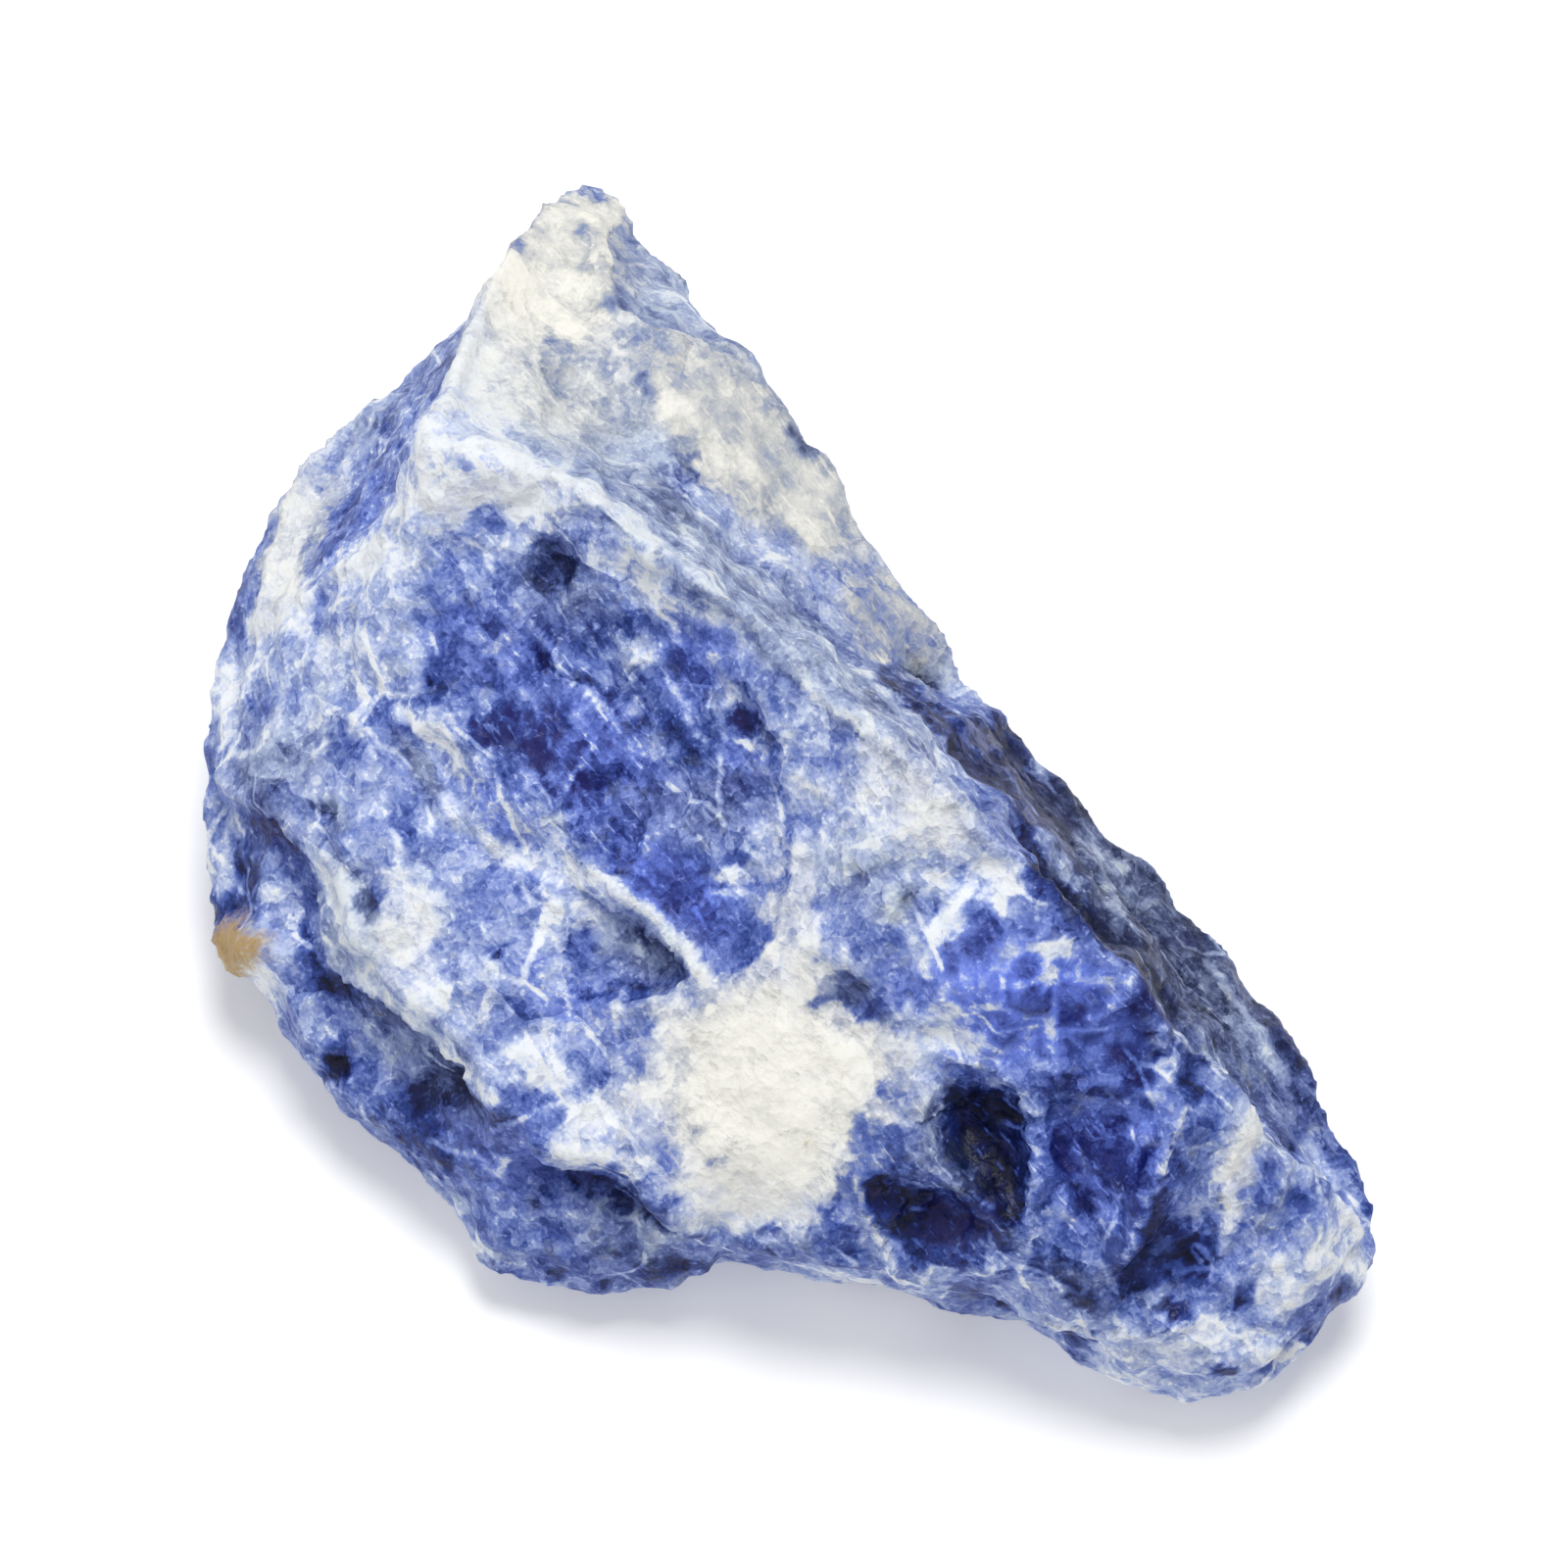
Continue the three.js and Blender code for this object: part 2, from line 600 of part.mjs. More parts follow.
// Delaunay triangles of flat points, by adding one point after another.
function delaunay(points) {
  const far = 1e4;
  const all = [...points, [-far, -far], [far, -far], [0, far]];
  const n = points.length;
  const circle = (a, b, c) => {
    const [[ax, ay], [bx, by], [cx, cy]] = [all[a], all[b], all[c]];
    const d = 2 * (ax * (by - cy) + bx * (cy - ay) + cx * (ay - by));
    const [a2, b2, c2] = [ax * ax + ay * ay, bx * bx + by * by, cx * cx + cy * cy];
    const x = (a2 * (by - cy) + b2 * (cy - ay) + c2 * (ay - by)) / d;
    const y = (a2 * (cx - bx) + b2 * (ax - cx) + c2 * (bx - ax)) / d;
    return { corners: [a, b, c], x, y, r2: (x - ax) ** 2 + (y - ay) ** 2 };
  };
  let made = [circle(n, n + 1, n + 2)];
  points.forEach(([x, y], p) => {
    const hit = made.filter((t) => (t.x - x) ** 2 + (t.y - y) ** 2 < t.r2);
    const rim = new Map();
    for (const { corners: [a, b, c] } of hit)
      for (const [from, to] of [[a, b], [b, c], [c, a]]) {
        const back = to + "," + from;
        if (rim.has(back)) rim.delete(back);
        else rim.set(from + "," + to, [from, to]);
      }
    made = made.filter((t) => !hit.includes(t));
    for (const [from, to] of rim.values()) made.push(circle(from, to, p));
  });
  return made.map((t) => t.corners).filter((t) => t.every((i) => i < n));
}

// Points of a loose triangular grid inside an outline, each a little off its place, clear of other points.
function scatter(outline, others, size, clearance, seed) {
  const [xs, ys] = [outline.map(([x]) => x), outline.map(([, y]) => y)];
  const row = size * Math.sin(Math.PI / 3);
  const points = [];
  for (let j = Math.floor(Math.min(...ys) / row); j * row < Math.max(...ys); j++)
    for (let i = Math.floor(Math.min(...xs) / size) - 1; i * size < Math.max(...xs); i++) {
      const [a, b] = [hash(i, j, seed, 1) - 0.5, hash(i, j, seed, 2) - 0.5];
      const point = [(i + (j & 1) / 2 + 0.3 * a) * size, j * row + 0.3 * b * size];
      if (inside(point, outline) && clear(point, others, clearance * size)) points.push(point);
    }
  return points;
}

// ---- filling a face ----
// The flats of a broken face: a loose net of corners, each a little high or low, and level at the outline.
function chipNet(outline, seed) {
  const seeds = scatter(outline, outline, chipSize, 0.42, seed);
  const points = [...outline, ...seeds];
  const rises = points.map((p, i) => (i < outline.length ? 0 : (2 * hash(i, seed, 5, 3) - 1) * chipRise));
  const triangles = seeds.length ? delaunay(points) : [];
  const creases = new Map();
  for (const t of triangles) {
    if (t.filter((i) => i >= outline.length).length < 2) continue;
    for (const [a, b] of [[t[0], t[1]], [t[1], t[2]], [t[2], t[0]]])
      if (Math.max(a, b) >= outline.length)
        creases.set(Math.min(a, b) + "," + Math.max(a, b), [points[a], points[b]]);
  }
  const rise = ([x, y]) => {
    for (const t of triangles) {
      const [[ax, ay], [bx, by], [cx, cy]] = t.map((i) => points[i]);
      const area = (bx - ax) * (cy - ay) - (cx - ax) * (by - ay);
      const v = ((x - ax) * (cy - ay) - (cx - ax) * (y - ay)) / area;
      const w = ((bx - ax) * (y - ay) - (x - ax) * (by - ay)) / area;
      if (v >= -1e-9 && w >= -1e-9 && v + w <= 1 + 1e-9) {
        return rises[t[0]] * (1 - v - w) + rises[t[1]] * v + rises[t[2]] * w;
      }
    }
    return 0;
  };
  return { creases: [...creases.values()], rise };
}

// The points of a face on its plane: the outline, then the creases of its flats, then the rest of it.
function facePoints(outline, creases, seed) {
  const points = [...outline];
  for (const [from, to] of creases) {
    const steps = Math.max(1, Math.round(gap(from, to) / meshSpacing));
    for (let s = 0; s <= steps; s++) {
      const point = [0, 1].map((axis) => from[axis] + ((to[axis] - from[axis]) * s) / steps);
      if (inside(point, outline) && clear(point, points, 0.6 * meshSpacing)) points.push(point);
    }
  }
  return [...points, ...scatter(outline, points, meshSpacing, 0.72, seed)];
}

// Triangles of one face, as points in space. Its edge stays on the lines, and its middle swells or sinks.
function fill(name, { round, swell }) {
  const seed = Object.keys(faces).indexOf(name) + 40;
  const loop = chain(round);
  const normal = newellNormal(loop);
  const centre = loop.reduce((sum, p) => sum.add(p), new THREE.Vector3()).divideScalar(loop.length);
  if (normal.dot(centre.clone().sub(stoneMiddle)) < 0) {
    loop.reverse();
    normal.negate();
  }
  const along = new THREE.Vector3().crossVectors(normal, Math.abs(normal.z) < 0.9 ? up : right).normalize();
  const across = new THREE.Vector3().crossVectors(normal, along);
  const flat = (p) => [p.clone().sub(centre).dot(along), p.clone().sub(centre).dot(across)];
  const outline = loop.map(flat);
  const net = chipNet(outline, seed);
  const points = name === "flatSpot" ? outline : facePoints(outline, net.creases, seed);
  const triangles = delaunay(points).filter((t) => {
    const middle = [0, 1].map((axis) => (points[t[0]][axis] + points[t[1]][axis] + points[t[2]][axis]) / 3);
    return inside(middle, outline);
  });
  const heights = relax(points.length, triangles, loop, centre, normal, swell);
  const place = (i) =>
    i < loop.length
      ? loop[i]
      : centre
          .clone()
          .addScaledVector(along, points[i][0])
          .addScaledVector(across, points[i][1])
          .addScaledVector(normal, heights[i] + net.rise(points[i]));
  const placed = points.map((_, i) => place(i));
  return triangles.map(([a, b, c]) => {
    const t = [placed[a], placed[b], placed[c]];
    const turn = new THREE.Vector3().crossVectors(t[1].clone().sub(t[0]), t[2].clone().sub(t[0]));
    return turn.dot(normal) < 0 ? [t[0], t[2], t[1]] : t;
  });
}

// Heights over the face's plane: a skin stretched between the edges, then swelled by one load everywhere.
function relax(count, triangles, loop, centre, normal, swell) {
  const near = Array.from({ length: count }, () => new Set());
  for (const t of triangles) for (const a of t) for (const b of t) if (a !== b) near[a].add(b);
  const solve = (edge, load) => {
    const h = Array.from({ length: count }, (_, i) => (i < loop.length ? edge[i] : 0));
    for (let round = 0; round < 400; round++)
      for (let i = loop.length; i < count; i++) {
        let sum = 0;
        for (const j of near[i]) sum += h[j];
        if (near[i].size) h[i] = sum / near[i].size + load;
      }
    return h;
  };
  const stretched = solve(loop.map((p) => p.clone().sub(centre).dot(normal)), 0);
  const bubble = solve(loop.map(() => 0), 1);
  const top = Math.max(...bubble, 1e-6);
  return stretched.map((h, i) => h + (swell * bubble[i]) / top);
}

// ---- the whole stone ----
const up = new THREE.Vector3(0, 0, 1);
const right = new THREE.Vector3(1, 0, 0);
const stoneMiddle = new THREE.Vector3(-1, -6, 9);

function shell() {
  const position = [];
  for (const [name, face] of Object.entries(faces))
    for (const triangle of fill(name, face)) for (const p of triangle) position.push(p.x, p.y, p.z);
  const geometry = new THREE.BufferGeometry();
  geometry.setAttribute("position", new THREE.Float32BufferAttribute(position, 3));
  return mergeVertices(geometry, 1e-3);
}

// Gives the skin its grain, and leaves the flat spot as it is.
function roughen(geometry) {
  geometry.computeVertexNormals();
  const position = geometry.getAttribute("position");
  const normals = geometry.getAttribute("normal");
  for (let i = 0; i < position.count; i++) {
    const point = new THREE.Vector3().fromBufferAttribute(position, i);
    if (Math.abs(point.z) < 1e-6) continue;
    const normal = new THREE.Vector3().fromBufferAttribute(normals, i);
    const rise = lumps(point, lumpSize, 29) * lumpRise + lumps(point, grainSize, 31) * grainRise;
    point.addScaledVector(normal, rise * THREE.MathUtils.smoothstep(point.z, 0, footHeight));
    position.setXYZ(i, point.x, point.y, Math.max(point.z, footGap));
  }
  geometry.deleteAttribute("normal");
  return geometry;
}

// Moves the stone so that the middle of its box stands over the origin.
function centred(geometry) {
  geometry.computeBoundingBox();
  const middle = geometry.boundingBox.getCenter(new THREE.Vector3());
  geometry.translate(-middle.x, -middle.y, 0);
  return geometry;
}

const sodalite = new THREE.MeshStandardMaterial({ color: 0x4257a8, roughness: 0.55, metalness: 0 });
const stone = new THREE.Mesh(centred(roughen(shell())), sodalite);
stone.name = "rough_sodalite";

const part = new THREE.Group();
part.add(stone);
export default part;
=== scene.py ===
# One piece of rough sodalite on a pale table: broken relief by Geometry Nodes, markings placed one by one,
# crystals and veins by shader nodes. Lengths are metres, and mm turns millimetres into them.
import math
from functools import partial

import bmesh
import bpy
import numpy as np
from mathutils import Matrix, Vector, noise
from mathutils.bvhtree import BVHTree


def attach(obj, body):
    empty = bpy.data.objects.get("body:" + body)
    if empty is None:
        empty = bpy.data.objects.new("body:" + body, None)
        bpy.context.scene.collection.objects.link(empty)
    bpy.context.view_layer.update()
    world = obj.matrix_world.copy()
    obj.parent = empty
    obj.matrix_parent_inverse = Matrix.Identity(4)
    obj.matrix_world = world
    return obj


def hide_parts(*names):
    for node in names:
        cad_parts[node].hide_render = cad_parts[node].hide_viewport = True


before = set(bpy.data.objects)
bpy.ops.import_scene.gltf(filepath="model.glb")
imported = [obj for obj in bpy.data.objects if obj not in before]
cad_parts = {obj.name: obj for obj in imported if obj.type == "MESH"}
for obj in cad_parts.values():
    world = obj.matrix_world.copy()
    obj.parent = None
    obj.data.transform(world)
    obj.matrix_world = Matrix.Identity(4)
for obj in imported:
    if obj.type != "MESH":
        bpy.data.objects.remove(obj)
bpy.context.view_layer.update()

mm = 0.001


def linear(hexColour):
    # sRGB hex to the linear values that Blender's sockets want
    parts = [int(hexColour[i:i + 2], 16) / 255 for i in (1, 3, 5)]
    return [c / 12.92 if c <= 0.04045 else ((c + 0.055) / 1.055) ** 2.4 for c in parts] + [1.0]


def addNode(tree, kind, inputs=(), output=0, **settings):
    # one node with its settings and links; an input is a value or the socket that feeds it
    made = tree.nodes.new(kind)
    for name, value in settings.items():
        setattr(made, name, value)
    for key, value in inputs.items() if isinstance(inputs, dict) else enumerate(inputs):
        if isinstance(value, bpy.types.NodeSocket):
            tree.links.new(value, made.inputs[key])
        else:
            made.inputs[key].default_value = value
    return made.outputs if output is None else made.outputs[output]


def chain(node, operation, *parts):
    # adds or multiplies any number of values, two at a time
    made = parts[0]
    for part in parts[1:]:
        made = node("ShaderNodeMath", (made, part), operation=operation)
    return made


def about(node, value, amount):
    # a value from 0 to 1 swings from -amount/2 to amount/2
    return chain(node, "MULTIPLY", node("ShaderNodeMath", (value, 0.5), operation="SUBTRACT"), amount)


def colourAbout(node, colour, amount):
    # the same for the three values of a colour
    middled = node("ShaderNodeVectorMath", (colour, (0.5, 0.5, 0.5)), operation="SUBTRACT")
    return node("ShaderNodeVectorMath", {0: middled, "Scale": amount}, operation="SCALE")


def stretched(node, place, reach, amount):
    # places drawn in along the striations, so that a pattern is drawn out along them
    pull = chain(node, "MULTIPLY", reach, -amount)
    pull = node("ShaderNodeVectorMath", {0: streakAlong, "Scale": pull}, operation="SCALE")
    return node("ShaderNodeVectorMath", (place, pull), operation="ADD")


smoothly = {"interpolation_type": "SMOOTHSTEP"}  # for a Map Range

# a long lens looks steeply down on the stone
camera = {"elevation": 68, "lens": 200, "sensor": 36, "fill": 0.77, "farthest": 20}
streakTurn = math.radians(50)  # of the striations, down to the right as the camera sees them

elevation = math.radians(camera["elevation"])
seenRight = Vector((1, 0, 0))
seenUp = Vector((0, math.sin(elevation), math.cos(elevation)))
seenBack = Vector((0, -math.cos(elevation), math.sin(elevation)))  # from the stone to the camera
streakAlong = seenRight * math.cos(streakTurn) - seenUp * math.sin(streakTurn)

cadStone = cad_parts["rough_sodalite"]
cadPoints = np.array([v.co for v in cadStone.data.vertices])
seenPoints = np.stack([cadPoints @ np.array(seenRight), cadPoints @ np.array(seenUp)], axis=1)
seenMiddle = (seenPoints.min(0) + seenPoints.max(0)) / 2
seenSize = (seenPoints.max(0) - seenPoints.min(0)).max()
middleDepth = float(((cadPoints.min(0) + cadPoints.max(0)) / 2) @ np.array(seenBack))


def addCamera():
    target = seenRight * seenMiddle[0] + seenUp * seenMiddle[1] + seenBack * middleDepth
    data = bpy.data.cameras.new("camera")
    data.lens = camera["lens"]
    data.sensor_width = camera["sensor"]
    data.clip_end = camera["farthest"]
    distance = seenSize / camera["fill"] * camera["lens"] / camera["sensor"]
    made = bpy.data.objects.new("camera", data)
    made.location = target + seenBack * distance
    made.rotation_euler = (-seenBack).to_track_quat("-Z", "Y").to_euler()
    bpy.context.scene.collection.objects.link(made)
    bpy.context.scene.camera = made
    return target


target = addCamera()
print("camera placed")

# skin: the solid's own surface as even small faces, sizes in mm
skin = {"voxel": 0.285, "weld": 0.001}


def makeSkin():
    mesh = cadStone.data.copy()
    mesh.materials.clear()
    merged = bmesh.new()
    merged.from_mesh(mesh)
    bmesh.ops.remove_doubles(merged, verts=merged.verts, dist=skin["weld"] * mm)
    merged.to_mesh(mesh)
    merged.free()
    stone = bpy.data.objects.new("roughSodalite", mesh)
    bpy.context.scene.collection.objects.link(stone)
    remesh = stone.modifiers.new("skin", "REMESH")
    remesh.mode = "VOXEL"
    remesh.voxel_size = skin["voxel"] * mm
    flatten(stone)
    return stone


def flatten(stone):
    # modifiers become plain mesh
    plain = bpy.data.meshes.new_from_object(stone.evaluated_get(bpy.context.evaluated_depsgraph_get()))
    stone.modifiers.clear()
    stone.data = plain
    plain.name = "roughSodalite"


# broken relief: what each layer of it looks like, and the named inputs of its node group
relief = {
    "widths": {"chip": 3.6, "crystal": 1.15, "cell": 1.5, "lump": 3.5, "streak": 0.9},  # mm
    "seed": 4.7,  # mm, to another place in the pattern of chips and crystals
    "cleavage": (0.6, 0.45, 0.35),  # turn of the flats that chips and crystals share, in radians
    "bend": (0.6, 0.8),  # bends in their borders in a width, and how wide they swing, in widths
    "level": 0.6,  # middle height of chips and crystals
    "softness": 0.25,  # of the cells
    "drawnOut": 0.88,  # how far the striations are stretched
    "detail": 3.0,  # of striations and lumps
    "chalky": 0.6,  # the pale patches lose this share of chips and crystals
    "normalSteps": 3,
    "ridgeSteps": 4,
    "ridgeReach": 0.1,  # mm out of its neighbourhood at which a point counts as fully bruised; sunk as far in, it gets the full painted shade of a hollow
    "footStart": 0.2,  # mm above the table
    "inputs": {
        "Soft Steps": 2,  # passes that take the triangles of the solid off
        "Broad Steps": 70,  # passes of the broad form that the sharpening measures from
        "Sharpen": 0.7,
        "Chip Height": 0.6 * mm,
        "Crystal Height": 0.2 * mm,
        "Cell Height": 0.28 * mm,
        "Streak Height": 0.1 * mm,
        "Lump Height": 0.2 * mm,
        "Foot Height": 1.2 * mm,  # the relief dies away this near the table
    },
}


def reliefTree(material):
    tree = bpy.data.node_groups.new("brokenRelief", "GeometryNodeTree")
    tree.interface.new_socket("Geometry", in_out="INPUT", socket_type="NodeSocketGeometry")
    for name, value in relief["inputs"].items():
        kind = "NodeSocketInt" if isinstance(value, int) else "NodeSocketFloat"
        tree.interface.new_socket(name, in_out="INPUT", socket_type=kind)
    tree.interface.new_socket("Geometry", in_out="OUTPUT", socket_type="NodeSocketGeometry")
    node = partial(addNode, tree)
    start = node("NodeGroupInput", output=None)
    width = {name: 1 / (size * mm) for name, size in relief["widths"].items()}
    placed = {name: node("GeometryNodeInputNamedAttribute", {"Name": name})
              for name in ("cream", "net", "streak", "ledge")}
    vectors = {"data_type": "FLOAT_VECTOR"}

    def wavy(place, name):
        waves = node("ShaderNodeTexNoise", {"Vector": place, "Scale": width[name],
                                            "Detail": relief["detail"]})
        return about(node, waves, start[name.capitalize() + " Height"])

    def faceted(place, name):
        # hollows or peaks with flat flanks and crisp creases between them, as cleavage leaves them
        place = node("ShaderNodeVectorMath", (place, (relief["seed"] * mm,) * 3), operation="ADD")
        often, far = relief["bend"]
        warp = node("ShaderNodeTexNoise", {"Vector": place, "Scale": often * width[name], "Detail": 1.0},
                    output="Color")
        warp = colourAbout(node, warp, far / width[name])
        place = node("ShaderNodeVectorMath", (place, warp), operation="ADD")
        place = node("ShaderNodeVectorRotate", {"Vector": place, "Rotation": relief["cleavage"]},
                     rotation_type="EULER_XYZ")
        cells = node("ShaderNodeTexVoronoi", {"Vector": place, "Scale": width[name]}, distance="MANHATTAN")
        cells = node("ShaderNodeMath", (cells, relief["level"]), operation="SUBTRACT")
        return chain(node, "MULTIPLY", cells, start[name.capitalize() + " Height"])

    # the solid's chips and edges stand out more sharply from its broad form
    position = node("GeometryNodeInputPosition")
    soft = node("GeometryNodeBlurAttribute", {"Value": position, "Iterations": start["Soft Steps"]},
                **vectors)
    broad = node("GeometryNodeBlurAttribute", {"Value": soft, "Iterations": start["Broad Steps"]},
                 **vectors)
    crisp = node("ShaderNodeVectorMath", (soft, broad), operation="SUBTRACT")
    crisp = node("ShaderNodeVectorMath", {0: crisp, "Scale": start["Sharpen"]}, operation="SCALE")
    height = node("ShaderNodeSeparateXYZ", (position,), output="Z")
    footing = node("ShaderNodeMapRange", (height, relief["footStart"] * mm, start["Foot Height"]),
                   **smoothly)
    crisp = node("ShaderNodeVectorMath", {0: crisp, "Scale": footing}, operation="SCALE")
    crisp = node("ShaderNodeVectorMath", (soft, crisp), operation="ADD")
    based = node("GeometryNodeSetPosition", {"Geometry": start["Geometry"], "Position": crisp})

    # chips, crystals, bulging cells, striations, lumps and the placed ledges, all along the normal
    bulge = node("ShaderNodeTexVoronoi", {"Vector": position, "Scale": width["cell"],
                                          "Smoothness": relief["softness"]}, feature="SMOOTH_F1")
    bulge = node("ShaderNodeMath", (0.5, bulge), operation="SUBTRACT")
    reach = node("ShaderNodeVectorMath", (position, streakAlong), output="Value", operation="DOT_PRODUCT")
    lines = wavy(stretched(node, position, reach, relief["drawnOut"]), "streak")
    chalk = chain(node, "MULTIPLY", placed["cream"], relief["chalky"])
    chalk = node("ShaderNodeMath", (1.0, chalk), operation="SUBTRACT")
    facets = node("ShaderNodeMath", (faceted(position, "chip"), faceted(position, "crystal")),
                  operation="SUBTRACT")
    rise = chain(node, "ADD", wavy(position, "lump"), chain(node, "MULTIPLY", facets, chalk),
                 chain(node, "MULTIPLY", bulge, start["Cell Height"], placed["net"]),
                 chain(node, "MULTIPLY", lines, placed["streak"]), placed["ledge"])
    normal = node("GeometryNodeBlurAttribute", {"Value": node("GeometryNodeInputNormal"),
                                                "Iterations": relief["normalSteps"]}, **vectors)
    offset = node("ShaderNodeVectorMath", {0: normal, "Scale": chain(node, "MULTIPLY", rise, footing)},
                  operation="SCALE")
    broken = node("GeometryNodeSetPosition", {"Geometry": based, "Offset": offset})

    # how far a point stands out of its neighbourhood: bruised edges stand out and are paler, hollows sink
    # in and get painted shade
    around = node("GeometryNodeBlurAttribute", {"Value": position, "Iterations": relief["ridgeSteps"]},
                  **vectors)
    out = node("ShaderNodeVectorMath", (position, around), operation="SUBTRACT")
    out = node("ShaderNodeVectorMath", (out, node("GeometryNodeInputNormal")), output="Value",
               operation="DOT_PRODUCT")
    far = relief["ridgeReach"] * mm
    edge = node("ShaderNodeMapRange", (out, -far, far, -1.0, 1.0))
    stored = node("GeometryNodeStoreNamedAttribute", {"Geometry": broken, "Name": "ridge", "Value": edge})
    smooth = node("GeometryNodeSetShadeSmooth", {"Geometry": stored, "Shade Smooth": True})
    real = node("GeometryNodeRealizeInstances", (smooth,))
    dressed = node("GeometryNodeSetMaterial", {"Geometry": real, "Material": material})
    node("NodeGroupOutput", (dressed,), output=None)
    return tree


def breakUp(stone, material):
    broken = stone.modifiers.new("relief", "NODES")
    broken.node_group = reliefTree(material)
    for item in broken.node_group.interface.items_tree:
        if item.name in relief["inputs"]:
            broken[item.identifier] = relief["inputs"][item.name]
    flatten(stone)


# markings: places in steps right and down, as the camera sees them, and where the stone's middle is
markStep = 0.128  # mm
markMiddle = (426, 970.5)

# right, down, push right, push down: the rim over the wall runs a little further in than the solid draws it
nudges = [
    (246, 988, 5, -1), (254, 1006, 6, 0), (256, 1022, 9, -2), (261, 1037, 7, -5), (277, 1050, 5, -5),
    (291, 1061, 5, -5), (306, 1075, 4, -4),
]
nudgeReach = 16

